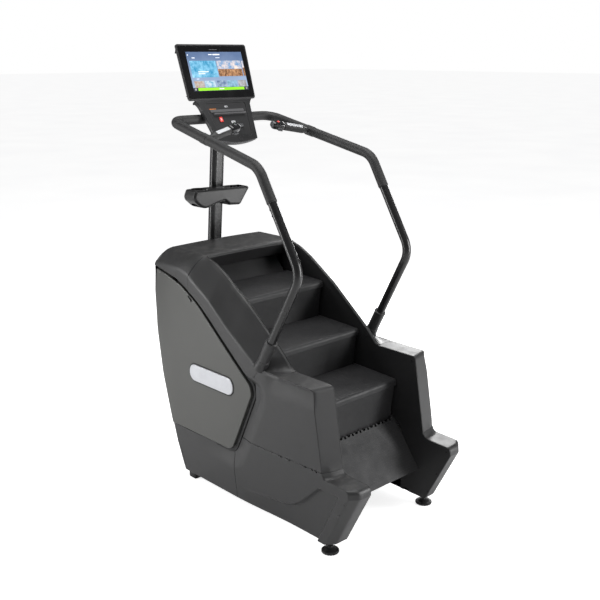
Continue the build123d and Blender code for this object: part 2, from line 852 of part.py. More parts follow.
with BuildPart() as accessory_tray:
    with BuildSketch(Plane.XZ.offset(-566)):
        with BuildLine():
            Polyline(
                (-209, 1530),
                (-230, 1486),
                (-156, 1427),
                (-75, 1450),
                (-20, 1459),
                (11, 1432),
                (84, 1427),
                (154, 1521),
                (60, 1524),
                (-32, 1526),
                (-100, 1528),
                close=True,
            )
        make_face()
    extrude(amount=-94)
    block((-48, 640, 1462), (48, 712, 1512))
    with Locations((-158, 612, 1440)):
        Cylinder(41, 110, align=(Align.CENTER, Align.CENTER, Align.MIN), mode=Mode.SUBTRACT)
    block((20, 574, 1442), (84, 652, 1600), mode=Mode.SUBTRACT)
    side_room = [(83, 1442), (138, 1514), (138, 1600), (83, 1600)]
    with BuildSketch(Plane.XZ.offset(-574)):
        with BuildLine():
            Polyline(*side_room, close=True)
        make_face()
    extrude(amount=-78, mode=Mode.SUBTRACT)
    with BuildSketch(mast_plane()):
        RectangleRounded(2 * mast_half + 0.2, mast_depth + 0.2, mast_depth / 2 - 1)
    extrude(amount=778, mode=Mode.SUBTRACT)

# ---------------------------------------------------------------- handrail


def rail_path(points, bends):
    return FilletPolyline(*points, radius=bends)


with BuildPart() as handrail_tubes:
    with BuildLine() as tube_line:
        tube_points = [socket_foot, low_bend, high_bend, rail_corner, bar_centre]
        rail_path(tube_points, [rail_bend_r, rail_bend_r, front_bend_r])
    with BuildSketch(Plane(origin=tube_line.line @ 0, z_dir=tube_line.line % 0)):
        Circle(tube_r)
    sweep(path=tube_line.line)
    mirror(about=Plane.YZ)

with BuildPart() as handrail_grips:
    grip_start = Vector(*low_bend) + (Vector(*high_bend) - Vector(*low_bend)) * grip_share
    with BuildLine() as grip_line:
        rail_path([tuple(grip_start), high_bend, rail_corner, (34, 598, 1886)], [rail_bend_r, front_bend_r])
    with BuildSketch(Plane(origin=grip_line.line @ 0, z_dir=grip_line.line % 0)):
        Circle(grip_r)
        Circle(tube_r + running, mode=Mode.SUBTRACT)
    sweep(path=grip_line.line)
    mirror(about=Plane.YZ)

with BuildPart() as handrail_sockets:
    socket_way = (Vector(*low_bend) - Vector(*socket_foot)).normalized()
    socket_top = Vector(*socket_foot) + socket_way * 168
    rod(socket_foot, tuple(socket_top), socket_r)
    lip_low = Vector(*socket_foot) + socket_way * 160
    rod(tuple(lip_low), tuple(socket_top), socket_r + 1.5)
    rod(socket_foot, low_bend, tube_r + running, mode=Mode.SUBTRACT)
    mirror(about=Plane.YZ)

# ---------------------------------------------------------------- inner handles

bar_outer = Vector(289, 302, 1829)
bar_inner = Vector(198.1, 322.7, 1845.9)
bar_way = (bar_inner - bar_outer).normalized()
upright = (Vector(0, 0, 1) - bar_way * bar_way.Z).normalized()
towards = Vector(bar_way.Y, -bar_way.X, 0).normalized() * -1
bar_roll = radians(35)  # the tops of the handles are rolled towards the user by this angle
bar_up = upright * cos(bar_roll) + towards * sin(bar_roll)
bar_user = towards * cos(bar_roll) - upright * sin(bar_roll)
handle_plane = Plane(origin=bar_outer, x_dir=bar_user, z_dir=bar_way)
pod_from = 118.0
pod_length = 70.0
paddle_r = 9.0
paddle_spot = bar_user * 14 - bar_up * 8
button_spot = bar_way * (pod_from + 38) - bar_user * 4

with BuildPart() as inner_handles:
    rail_way = (Vector(*rail_corner) - Vector(*high_bend)).normalized()
    share = (bar_outer.Y - high_bend[1]) / (rail_corner[1] - high_bend[1])
    on_rail = Vector(*high_bend) + (Vector(*rail_corner) - Vector(*high_bend)) * share
    clamp_half = rail_way * 22
    rod(tuple(on_rail - clamp_half), tuple(on_rail + clamp_half), grip_r + 3)
    rod(tuple(on_rail), tuple(bar_outer + bar_way * 4), 14)
    with BuildSketch(handle_plane):
        RectangleRounded(34, 30, 10)
    extrude(amount=pod_from - 1)
    clear_half = rail_way * 30
    rod(tuple(on_rail - clear_half), tuple(on_rail + clear_half), grip_r + running, mode=Mode.SUBTRACT)
    with BuildSketch(handle_plane.offset(8)):
        with Locations((0, 15 if handle_plane.y_dir.Z > 0 else -15)):
            Rectangle(22, 3)
    extrude(amount=pod_from - 20, mode=Mode.SUBTRACT)
    mirror(about=Plane.YZ)

with BuildPart() as pulse_plates:
    with BuildSketch(handle_plane.offset(9)):
        with Locations((0, 15 if handle_plane.y_dir.Z > 0 else -15)):
            Rectangle(21, 2.6)
    extrude(amount=pod_from - 22)
    mirror(about=Plane.YZ)

with BuildPart() as control_pods:
    with BuildSketch(handle_plane.offset(pod_from)):
        RectangleRounded(42, 36, 12)
    extrude(amount=pod_length)
    fillet(control_pods.faces().sort_by(Axis.X)[0].edges(), 6)
    button_axis = bar_outer + button_spot
    rod(tuple(button_axis + bar_up * 10), tuple(button_axis + bar_up * 30), 7.1, mode=Mode.SUBTRACT)
    slot_low = bar_outer + bar_way * (pod_from + 11) + paddle_spot
    slot_high = bar_outer + bar_way * (pod_from + 39) + paddle_spot
    rod(tuple(slot_low), tuple(slot_high), paddle_r + 0.1, mode=Mode.SUBTRACT)
    with BuildSketch(Plane(origin=slot_low, x_dir=bar_user, z_dir=bar_way)):
        with Locations((14, 0)):
            Rectangle(28, 22)
    extrude(amount=28, mode=Mode.SUBTRACT)
    mirror(about=Plane.YZ)


def pod_button():
    button_at = bar_outer + button_spot
    rod(tuple(button_at + bar_up * 13), tuple(button_at + bar_up * 20.5), 7)


def pod_paddle():
    low = bar_outer + bar_way * (pod_from + 12) + paddle_spot
    high = bar_outer + bar_way * (pod_from + 38) + paddle_spot
    rod(tuple(low), tuple(high), paddle_r)
    with BuildSketch(Plane(origin=low, x_dir=bar_user, z_dir=bar_way)) as face:
        with Locations((12, 0)):
            RectangleRounded(14, 6, 2.5)
    extrude(face.sketch, amount=26)


with BuildPart() as pod_button_right:
    pod_button()

with BuildPart() as pod_button_left:
    pod_button()
    mirror(about=Plane.YZ, mode=Mode.REPLACE)

with BuildPart() as pod_paddle_right:
    pod_paddle()

with BuildPart() as pod_paddle_left:
    pod_paddle()
    mirror(about=Plane.YZ, mode=Mode.REPLACE)

# ---------------------------------------------------------------- console

screen_half = 226.0
screen_foot_half = 218.0
screen_height = 289.0
screen_depth = 38.0
screen_edge = 9.0
screen_taper = 34.0
glass_low = 9.0
glass_high = 280.0
glass_half = 211.0


def screen_outline(plane, inwards):
    """Outline of the display shell, drawn in by a distance on all sides."""
    with BuildSketch(plane) as face:
        with BuildLine():
            Polyline(
                (inwards - screen_foot_half, inwards),
                (screen_foot_half - inwards, inwards),
                (screen_half - inwards, screen_height - inwards),
                (inwards - screen_half, screen_height - inwards),
                close=True,
            )
        make_face()
        fillet(face.vertices(), 12)
    return face.sketch


with BuildPart() as display_housing:
    extrude(screen_outline(screen_plane, 0), amount=-screen_edge)
    front_outline = screen_outline(screen_plane.offset(-screen_edge), 0)
    rear_outline = screen_outline(screen_plane.offset(-screen_depth), screen_taper)
    loft([front_outline, rear_outline])
    with BuildSketch(screen_plane):
        with Locations((0, (glass_low + glass_high) / 2)):
            RectangleRounded(2 * glass_half, glass_high - glass_low, 6)
    extrude(amount=-4, mode=Mode.SUBTRACT)

with BuildPart() as display_screen:
    with BuildSketch(screen_plane.offset(-3.9)):
        with Locations((0, (glass_low + glass_high) / 2)):
            RectangleRounded(2 * glass_half - 0.6, glass_high - glass_low - 0.6, 6)
    extrude(amount=3.2)

panel_plane = Plane(
    origin=(0, 549, 1909),
    x_dir=(1, 0, 0),
    z_dir=(0, -cos(radians(panel_tilt)), sin(radians(panel_tilt))),
)
panel_depth = 28.0
panel_low = -141.0
panel_high = 62.0
neck_high = 81.0
neck_half = 177.0
stop_spot = (-62, -28)
toggle_spot = (52, -66)
toggle_r = 11.0

with BuildPart() as console_panel:
    with BuildSketch(panel_plane):
        with BuildLine():
            Line((-131, panel_low), (-165, panel_high))
            Line((-165, panel_high), (-neck_half, neck_high))
            Line((-neck_half, neck_high), (neck_half, neck_high))
            Line((neck_half, neck_high), (165, panel_high))
            Line((165, panel_high), (131, panel_low))
            ThreePointArc((131, panel_low), (0, panel_low - 20), (-131, panel_low))
        make_face()
    extrude(amount=-panel_depth)
    corners = console_panel.edges().filter_by(lambda edge: abs(edge.length - panel_depth) < 0.01)
    fillet(corners.sort_by(Axis.Z)[:2], 12)
    with BuildSketch(panel_plane):
        with Locations((0, -38)):
            RectangleRounded(226, 168, 14)
    extrude(amount=-2, mode=Mode.SUBTRACT)
    # Ledge for a phone and the openings of the stop button and the toggle.
    with BuildSketch(panel_plane.offset(-3)):
        with Locations((0, 4)):
            Rectangle(204, 8)
    extrude(amount=15)
    with BuildSketch(panel_plane.offset(-12)):
        with Locations(stop_spot):
            RectangleRounded(21, 28, 3)
    extrude(amount=20, mode=Mode.SUBTRACT)
    with BuildSketch(panel_plane.offset(-16)):
        with Locations(toggle_spot):
            Rectangle(25, 2 * toggle_r + 0.6)
    extrude(amount=24, mode=Mode.SUBTRACT)

with BuildPart() as stop_button:
    with BuildSketch(panel_plane.offset(-7)):
        with Locations(stop_spot):
            RectangleRounded(20, 27, 3)
    extrude(amount=9)
    chamfer(stop_button.faces().sort_by(Axis.Y)[0].edges(), 1)

with BuildPart() as channel_toggle:
    toggle_axis = panel_plane.offset(-5).from_local_coords((toggle_spot[0] - 12, toggle_spot[1], 0))
    toggle_end = panel_plane.offset(-5).from_local_coords((toggle_spot[0] + 12, toggle_spot[1], 0))
    rod(tuple(toggle_axis), tuple(toggle_end), toggle_r)

os.makedirs("parts", exist_ok=True)
pieces = {
    "base_frame": base_frame,
    "rear_foot_caps": rear_foot_caps,
    "levelling_foot_left": levelling_foot_left,
    "levelling_foot_right": levelling_foot_right,
    "inner_wall_left": inner_wall_left,
    "inner_wall_right": inner_wall_right,
    "slope_covers": slope_covers,
    "front_arm_left": front_arm_left,
    "front_arm_right": front_arm_right,
    "lower_front_covers": lower_front_covers,
    "lower_rear_covers": lower_rear_covers,
    "side_cover_left": side_cover_left,
    "side_cover_right": side_cover_right,
    "side_badges": side_badges,
    "top_housing": top_housing,
    "rear_cover": rear_cover,
    "back_plate": back_plate,
    "step_ramp": step_ramp,
    "wall_screws": wall_screws,
    "front_treads": front_treads,
    "front_risers": front_risers,
    "lower_turning_tread": lower_turning_tread,
    "lower_turning_riser": lower_turning_riser,
    "upper_turning_tread": upper_turning_tread,
    "upper_turning_riser": upper_turning_riser,
    "return_treads": return_treads,
    "return_risers": return_risers,
    "front_step_axles": front_step_axles,
    "return_step_axles": return_step_axles,
    "front_chains": front_chains,
    "return_chains": return_chains,
    "upper_chain_wraps": upper_chain_wraps,
    "lower_chain_wraps": lower_chain_wraps,
    "upper_shaft": upper_shaft,
    "lower_shaft": lower_shaft,
    "shaft_bearings": shaft_bearings,
    "drive_pulley": drive_pulley,
    "drive_belt": drive_belt,
    "alternator": alternator,
    "alternator_rotor": alternator_rotor,
    "controller_box": controller_box,
    "power_inlet": power_inlet,
    "power_switch": power_switch,
    "mast": mast,
    "accessory_tray": accessory_tray,
    "handrail_tubes": handrail_tubes,
    "handrail_sockets": handrail_sockets,
    "handrail_grips": handrail_grips,
    "inner_handles": inner_handles,
    "pulse_plates": pulse_plates,
    "control_pods": control_pods,
    "pod_button_left": pod_button_left,
    "pod_button_right": pod_button_right,
    "pod_paddle_left": pod_paddle_left,
    "pod_paddle_right": pod_paddle_right,
    "display_housing": display_housing,
    "display_screen": display_screen,
    "console_panel": console_panel,
    "stop_button": stop_button,
    "channel_toggle": channel_toggle,
}
for name, piece in pieces.items():
    piece.part.label = name
    export_step(piece.part, f"parts/{name}.step")
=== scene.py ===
import json
import random
from math import atan2, cos, degrees, hypot, pi, radians, sin, sqrt, tan

import bmesh
import bpy
import numpy as np
from mathutils import Matrix, Vector
from mathutils.geometry import delaunay_2d_cdt

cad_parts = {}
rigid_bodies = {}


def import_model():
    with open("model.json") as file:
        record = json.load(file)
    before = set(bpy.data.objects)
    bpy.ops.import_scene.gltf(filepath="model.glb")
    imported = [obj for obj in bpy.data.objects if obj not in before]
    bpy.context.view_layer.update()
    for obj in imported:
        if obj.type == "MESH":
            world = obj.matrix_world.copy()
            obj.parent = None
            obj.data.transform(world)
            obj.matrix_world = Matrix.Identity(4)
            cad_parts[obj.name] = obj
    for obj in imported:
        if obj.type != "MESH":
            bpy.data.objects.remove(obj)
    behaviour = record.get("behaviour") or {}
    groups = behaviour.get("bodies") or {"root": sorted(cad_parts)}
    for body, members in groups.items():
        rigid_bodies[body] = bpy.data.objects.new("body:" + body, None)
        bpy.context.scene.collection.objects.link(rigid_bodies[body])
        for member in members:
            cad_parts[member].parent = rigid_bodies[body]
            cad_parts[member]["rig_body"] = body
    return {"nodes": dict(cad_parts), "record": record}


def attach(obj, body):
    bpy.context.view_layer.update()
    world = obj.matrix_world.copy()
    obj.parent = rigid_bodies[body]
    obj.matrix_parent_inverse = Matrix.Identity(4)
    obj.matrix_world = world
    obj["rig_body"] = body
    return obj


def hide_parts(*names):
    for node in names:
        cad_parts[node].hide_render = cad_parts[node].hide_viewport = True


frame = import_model()
random.seed(7)
MM = 0.001
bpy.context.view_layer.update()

# ------------------------------------------------------------------ materials


class Nodes:
    """A short way to write a material's nodes."""

    def __init__(self, name):
        self.mat = bpy.data.materials.new(name)
        self.mat.use_nodes = True
        self.tree = self.mat.node_tree
        self.tree.nodes.clear()
        self.out = self.add("ShaderNodeOutputMaterial")
        self.bsdf = self.add("ShaderNodeBsdfPrincipled")
        self.link(self.bsdf.outputs[0], self.out.inputs[0])
        geo = self.add("ShaderNodeTexCoord")
        self.coord = geo.outputs["Object"]

    def add(self, kind, **values):
        node = self.tree.nodes.new(kind)
        for key, value in values.items():
            if key.startswith("i_"):
                node.inputs[key[2:].replace("_", " ")].default_value = value
            else:
                setattr(node, key, value)
        return node

    def link(self, a, b):
        self.tree.links.new(a, b)

    def noise(self, scale, detail=3.0, rough=0.5, coord=None):
        node = self.add("ShaderNodeTexNoise")
        node.inputs["Scale"].default_value = scale
        node.inputs["Detail"].default_value = detail
        node.inputs["Roughness"].default_value = rough
        self.link(coord or self.coord, node.inputs["Vector"])
        return node.outputs["Fac"]

    def span(self, value, low, high, from_low=0.3, from_high=0.7):
        node = self.add("ShaderNodeMapRange")
        node.inputs["From Min"].default_value = from_low
        node.inputs["From Max"].default_value = from_high
        node.inputs["To Min"].default_value = low
        node.inputs["To Max"].default_value = high
        self.link(value, node.inputs["Value"])
        return node.outputs["Result"]

    def math(self, kind, a, b=None):
        node = self.add("ShaderNodeMath", operation=kind)
        for slot, value in enumerate((a, b)):
            if value is None:
                continue
            if isinstance(value, (int, float)):
                node.inputs[slot].default_value = value
            else:
                self.link(value, node.inputs[slot])
        return node.outputs[0]

    def mix(self, factor, a, b):
        node = self.add("ShaderNodeMix", data_type="RGBA")
        if isinstance(factor, (int, float)):
            node.inputs["Factor"].default_value = factor
        else:
            self.link(factor, node.inputs["Factor"])
        for slot, value in ((6, a), (7, b)):
            if isinstance(value, tuple):
                node.inputs[slot].default_value = (*value, 1)
            else:
                self.link(value, node.inputs[slot])
        return node.outputs[2]

    def bump(self, height, strength, distance=0.0004, normal=None):
        node = self.add("ShaderNodeBump")
        node.inputs["Strength"].default_value = strength
        node.inputs["Distance"].default_value = distance
        self.link(height, node.inputs["Height"])
        if normal is not None:
            self.link(normal, node.inputs["Normal"])
        return node.outputs["Normal"]

    def finish(self, colour, rough, normal=None, metallic=0.0, coat=0.0, coat_rough=0.1):
        for slot, value in (("Base Color", colour), ("Roughness", rough)):
            if isinstance(value, tuple):
                self.bsdf.inputs[slot].default_value = (*value, 1)
            elif isinstance(value, (int, float)):
                self.bsdf.inputs[slot].default_value = value
            else:
                self.link(value, self.bsdf.inputs[slot])
        if normal is not None:
            self.link(normal, self.bsdf.inputs["Normal"])
        self.bsdf.inputs["Metallic"].default_value = metallic
        self.bsdf.inputs["Coat Weight"].default_value = coat
        self.bsdf.inputs["Coat Roughness"].default_value = coat_rough
        return self.mat


def plastic(name, colour, rough=0.45, grain=900.0, grain_strength=0.25, dust=0.12, coat=0.0):
    """Moulded plastic: fine grain, slow changes in gloss, a little dust on faces that look up."""
    n = Nodes(name)
    broad = n.noise(3.5, 4)
    fine = n.noise(grain, 0)
    geometry = n.add("ShaderNodeNewGeometry")
    split = n.add("ShaderNodeSeparateXYZ")
    n.link(geometry.outputs["Normal"], split.inputs[0])
    up = n.span(split.outputs[2], 0, 1, 0.6, 1.0)
    specks = n.span(n.noise(26, 3, 0.55), 0, 1, 0.45, 0.75)
    dusty = n.math("MULTIPLY", n.math("MULTIPLY", up, specks), dust)
    tone = n.mix(n.span(broad, 0, 1), tuple(c * 0.9 for c in colour), tuple(min(1, c * 1.12) for c in colour))
    tone = n.mix(dusty, tone, (0.32, 0.31, 0.29))
    scuff = n.span(n.noise(14, 4, 0.6), 0, 0.09, 0.55, 0.8)
    gloss = n.math("ADD", n.span(broad, rough - 0.05, rough + 0.06), scuff)
    return n.finish(tone, gloss, n.bump(fine, grain_strength * 0.1, 0.0002), coat=coat)


def metal(name, colour, rough, metallic=1.0, streak=(1, 1, 1), wear=0.1, bump=0.1):
    n = Nodes(name)
    mapping = n.add("ShaderNodeMapping")
    mapping.inputs["Scale"].default_value = streak
    n.link(n.coord, mapping.inputs["Vector"])
    lines = n.noise(220, 4, 0.6, mapping.outputs[0])
    blot = n.noise(18, 6, 0.65)
    tone = n.mix(n.span(blot, 0, wear * 4, 0.4, 0.75), colour, tuple(c * 0.55 for c in colour))
    gloss = n.math("ADD", n.span(lines, rough - 0.06, rough + 0.08), n.span(blot, 0, wear))
    return n.finish(tone, gloss, n.bump(lines, bump, 0.0002), metallic=metallic)


def gloss_paint(name, colour, rough=0.22):
    """Gloss paint on tube: orange peel, fine scratches."""
    n = Nodes(name)
    peel = n.noise(160, 2, 0.4)
    scratch = n.span(n.noise(20, 3, 0.5), 0, 0.06, 0.55, 0.8)
    tone = n.mix(n.span(n.noise(6, 3), 0, 1), tuple(c * 0.85 for c in colour), tuple(c * 1.2 for c in colour))
    return n.finish(tone, n.math("ADD", scratch, rough), n.bump(peel, 0.008, 0.0002), coat=0.2, coat_rough=0.3)


def metallic_paint(name, colour):
    """Satin metallic paint: flake sparkle and slow cloudiness."""
    n = Nodes(name)
    flake = n.add("ShaderNodeTexVoronoi")
    flake.inputs["Scale"].default_value = 1400
    n.link(n.coord, flake.inputs["Vector"])
    tint = n.span(flake.outputs["Distance"], 0, 1, 0.1, 0.6)
    cloud = n.noise(2.2, 4)
    base = n.mix(tint, tuple(c * 1.1 for c in colour), tuple(c * 0.92 for c in colour))
    base = n.mix(n.span(cloud, 0, 0.35), base, tuple(c * 0.86 for c in colour))
    gloss = n.math("ADD", n.span(cloud, 0.34, 0.42), n.span(n.noise(30, 7, 0.7), 0, 0.05, 0.55, 0.8))
    return n.finish(base, gloss, n.bump(n.noise(700, 2), 0.08, 0.0002), metallic=0.55)


def ribbed(name, colour, rough, scale, strength, axis=1, dust=0.1):
    """Near-black step plastic with a fine leather grain and foot scuffs."""
    n = Nodes(name)
    grain = n.add("ShaderNodeTexVoronoi")
    grain.inputs["Scale"].default_value = scale
    n.link(n.coord, grain.inputs["Vector"])
    scuff = n.span(n.noise(9, 9, 0.72), 0, 1, 0.5, 0.78)
    trail = n.span(n.noise(55, 6, 0.8), 0, 1, 0.55, 0.8)
    tone = n.mix(n.math("MULTIPLY", n.math("MULTIPLY", scuff, trail), dust * 3), colour, (0.16, 0.155, 0.15))
    tone = n.mix(n.span(n.noise(3, 3), 0, 0.5), tone, tuple(c * 0.8 for c in colour))
    gloss = n.math("ADD", n.span(n.noise(20, 5), rough - 0.06, rough + 0.06), n.math("MULTIPLY", scuff, 0.08))
    return n.finish(tone, gloss, n.bump(grain.outputs["Distance"], strength, 0.0003))


HOUSING = (0.0225, 0.0225, 0.0232)
MAT = {
    "housing_plastic": plastic("housing_plastic", HOUSING, 0.42),
    "wall_sheet": plastic("wall_sheet", (0.011, 0.011, 0.0118), 0.55, 1300, 0.3, 0.03),
    "side_cover_paint": metallic_paint("side_cover_paint", (0.10, 0.101, 0.096)),
    "badge_silver": metal("badge_silver", (0.62, 0.63, 0.66), 0.34, 0.35, wear=0.04, bump=0.03),
    "step_plastic": ribbed("step_plastic", (0.0135, 0.0135, 0.0145), 0.56, 520, 0.05),
    "ramp_plastic": ribbed("ramp_plastic", (0.0185, 0.0185, 0.0195), 0.64, 520, 0.05),
    "tube_paint": gloss_paint("tube_paint", (0.009, 0.009, 0.0095), 0.26),
    "grip_rubber": plastic("grip_rubber", (0.0165, 0.0165, 0.017), 0.55, 1500, 0.35, 0.05),
    "frame_paint": plastic("frame_paint", (0.018, 0.018, 0.02), 0.4, 600, 0.2, 0.3),
    "machined_steel": metal("machined_steel", (0.5, 0.5, 0.51), 0.32, streak=(1, 14, 14), wear=0.15),
    "chain_steel": metal("chain_steel", (0.22, 0.2, 0.18), 0.38, wear=0.3),
    "belt_rubber": plastic("belt_rubber", (0.012, 0.012, 0.012), 0.6, 800, 0.3, 0.1),
    "cast_aluminium": metal("cast_aluminium", (0.52, 0.53, 0.54), 0.48, wear=0.2, bump=0.4),
    "console_plastic": plastic("console_plastic", (0.0165, 0.0165, 0.0175), 0.4, 1500, 0.2, 0.05),
    "tray_plastic": plastic("tray_plastic", (0.0085, 0.0085, 0.009), 0.4, 900, 0.1, 0.02),
    "recess_plastic": plastic("recess_plastic", (0.0135, 0.0135, 0.0145), 0.5, 1500, 0.25, 0.03),
    "black_plastic": plastic("black_plastic", (0.006, 0.006, 0.0065), 0.6, 1200, 0.2, 0.02),
    "screen_black": plastic("screen_black", (0.0035, 0.0035, 0.004), 0.16, 1500, 0.01, 0.01),
    "pod_gloss": plastic("pod_gloss", (0.008, 0.008, 0.009), 0.14, 1200, 0.05, 0.03, coat=0.4),
    "red_button": plastic("red_button", (0.78, 0.045, 0.035), 0.32, 900, 0.1, 0.02, coat=0.3),
    "grey_button": plastic("grey_button", (0.075, 0.077, 0.082), 0.4, 900, 0.15, 0.03),
    "ledge_grey": plastic("ledge_grey", (0.085, 0.085, 0.088), 0.5, 900, 0.3, 0.05),
    "pulse_steel": metal("pulse_steel", (0.72, 0.73, 0.75), 0.36, 0.7, streak=(3, 1, 1), wear=0.04, bump=0.01),
    "screw_steel": metal("screw_steel", (0.02, 0.02, 0.021), 0.4, 0.7, wear=0.2),
    "foot_rubber": plastic("foot_rubber", (0.009, 0.009, 0.0095), 0.4, 700, 0.3, 0.2),
    "mark_white": plastic("mark_white", (0.75, 0.76, 0.78), 0.5, 900, 0.05, 0.0),
    "mark_orange": plastic("mark_orange", (0.62, 0.2, 0.03), 0.5, 900, 0.05, 0.0),
}

# ------------------------------------------------------------------ meshes


def piece(name, verts, faces, material, body="machine", replaces=(), slot=None, angle=35, weighted=True):
    """A mesh from millimetre points, shaded smooth except across sharp corners, riding on a body."""
    mesh = bpy.data.meshes.new(name)
    mesh.from_pydata([tuple(c * MM for c in v) for v in verts], [], [tuple(f) for f in faces])
    mesh.validate()
    tidy = bmesh.new()
    tidy.from_mesh(mesh)
    bmesh.ops.remove_doubles(tidy, verts=tidy.verts, dist=1e-6)
    loose = [v for v in tidy.verts if not v.link_faces]
    bmesh.ops.delete(tidy, geom=loose, context="VERTS")
    bmesh.ops.recalc_face_normals(tidy, faces=tidy.faces)
    tidy.to_mesh(mesh)
    tidy.free()
    return adopt(name, mesh, material, body, replaces, slot, angle, weighted)


def adopt(name, mesh, material, body="machine", replaces=(), slot=None, angle=35, weighted=True):
    mesh.polygons.foreach_set("use_smooth", [True] * len(mesh.polygons))
    mesh.set_sharp_from_angle(angle=radians(angle))
    obj = bpy.data.objects.new(name, mesh)
    bpy.context.scene.collection.objects.link(obj)
    mesh.materials.append(MAT[material])
    if weighted:
        weigh = obj.modifiers.new("weigh", "WEIGHTED_NORMAL")
        weigh.keep_sharp = True
        weigh.weight = 80
    if slot is None and material in SLOTS:
        slot = material
    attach(obj, body)
    if replaces:
        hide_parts(*([replaces] if isinstance(replaces, str) else replaces))
    return obj


SLOTS = {m["slot"] for m in frame["record"]["materials"]}


def mirrored(verts, faces, side):
    """side is -1 for the user's left: the same mesh seen in a mirror."""
    if side > 0:
        return verts, faces
    return [(-x, y, z) for x, y, z in verts], [tuple(reversed(f)) for f in faces]


def join(*parts):
    verts, faces = [], []
    for v, f in parts:
        base = len(verts)
        verts += list(v)
        faces += [tuple(i + base for i in face) for face in f]
    return verts, faces


def round_corners(points, radii, steps=6, closed=True):
    """Corner points with arcs of the given radii in their place."""
    if isinstance(radii, (int, float)):
        radii = [radii] * len(points)
    out = []
    count = len(points)
    for i, point in enumerate(points):
        p = Vector(point)
        if not closed and i in (0, count - 1) or radii[i] <= 0:
            out.append(tuple(p))
            continue
        a = Vector(points[i - 1]) - p
        b = Vector(points[(i + 1) % count]) - p
        la, lb = a.length, b.length
        a.normalize()
        b.normalize()
        bend = a.angle(b)
        if bend > pi - 0.02:
            out.append(tuple(p))
            continue
        reach = min(radii[i] / tan(bend / 2), la * 0.48, lb * 0.48)
        radius = reach * tan(bend / 2)
        middle = p + (a + b).normalized() * (radius / sin(bend / 2))
        start = p + a * reach - middle
        end = p + b * reach - middle
        turn = start.angle(end)
        for k in range(steps + 1):
            t = k / steps
            spot = (start * sin((1 - t) * turn) + end * sin(t * turn)) / sin(turn)
            out.append(tuple(middle + spot))
    return out


def resample(points, step, closed=True):
    out = []
    ring = points + [points[0]] if closed else points
    for a, b in zip(ring, ring[1:]):
        n = max(1, int(round(hypot(b[0] - a[0], b[1] - a[1]) / step)))
        out += [(a[0] + (b[0] - a[0]) * k / n, a[1] + (b[1] - a[1]) * k / n) for k in range(n)]
    if not closed:
        out.append(points[-1])
    return out


def area(points):
    return sum(a[0] * b[1] - b[0] * a[1] for a, b in zip(points, points[1:] + points[:1])) / 2


def segment_distance(p, polygon, closed=True):
    """Distance from each row of p to the polygon's edges."""
    poly = np.array(polygon, float)
    a = poly
    b = np.roll(poly, -1, axis=0)
    if not closed:
        a, b = poly[:-1], poly[1:]
    best = np.full(len(p), 1e9)
    for u, v in zip(a, b):
        d = v - u
        t = np.clip(((p - u) @ d) / (d @ d), 0, 1)
        best = np.minimum(best, np.hypot(*(p - (u + t[:, None] * d)).T))
    return best


def inside(p, polygon):
    poly = np.array(polygon, float)
    x, y = p[:, 0], p[:, 1]
    hit = np.zeros(len(p), bool)
    j = len(poly) - 1
    for i in range(len(poly)):
        xi, yi = poly[i]
        xj, yj = poly[j]
        if yi != yj:
            cross = (yi > y) != (yj > y)
            hit ^= cross & (x < (xj - xi) * (y - yi) / (yj - yi) + xi)
        j = i
    return hit


def smooth_step(t):
    t = np.clip(t, 0, 1)
    return t * t * (3 - 2 * t)


def offset_ring(points, amounts):
    """Each point moved inwards along its own normal; the ring runs anticlockwise."""
    ring = np.array(points, float)
    after = np.roll(ring, -1, axis=0) - ring
    before = ring - np.roll(ring, 1, axis=0)
    after /= np.maximum(np.linalg.norm(after, axis=1, keepdims=True), 1e-9)
    before /= np.maximum(np.linalg.norm(before, axis=1, keepdims=True), 1e-9)
    n1 = np.stack([-before[:, 1], before[:, 0]], 1)
    n2 = np.stack([-after[:, 1], after[:, 0]], 1)
    n = n1 + n2
    n /= np.maximum((n * n).sum(1, keepdims=True) / 2, 0.35)
    return ring + n * np.array(amounts, float)[:, None]


def fill(ring, step, holes=()):
    """Triangles over a closed ring with a grid of points inside. Returns points (ring first) and triangles."""
    poly = [tuple(p) for p in ring]
    points = list(poly)
    rings = [list(range(len(poly)))]
    for hole in holes:
        rings.append(list(range(len(points), len(points) + len(hole))))
        points += [tuple(p) for p in hole]
    if step:
        lo = np.min(ring, axis=0)
        hi = np.max(ring, axis=0)
        gx = np.arange(lo[0] + step / 2, hi[0], step)
        gy = np.arange(lo[1] + step / 2, hi[1], step)
        rows = np.array([(x + (step / 2 if k % 2 else 0), y) for k, y in enumerate(gy) for x in gx])
        if len(rows):
            keep = inside(rows, poly) & (segment_distance(rows, poly) > step * 0.55)
            for hole in holes:
                keep &= ~inside(rows, hole) & (segment_distance(rows, hole) > step * 0.55)
            points += [tuple(p) for p in rows[keep]]
    edges = [(a, b) for r in rings for a, b in zip(r, r[1:] + r[:1])]
    got = delaunay_2d_cdt([Vector(p) for p in points], edges, [], 0, 1e-5)
    verts = np.array([tuple(v) for v in got[0]])
    tris = [tuple(t) for t in got[2]]
    centres = np.array([verts[list(t)].mean(0) for t in tris])
    keep = inside(centres, poly)
    for hole in holes:
        keep &= ~inside(centres, hole)
    return verts, [t for t, k in zip(tris, keep) if k]


def weld(parts):
    return join(*parts)


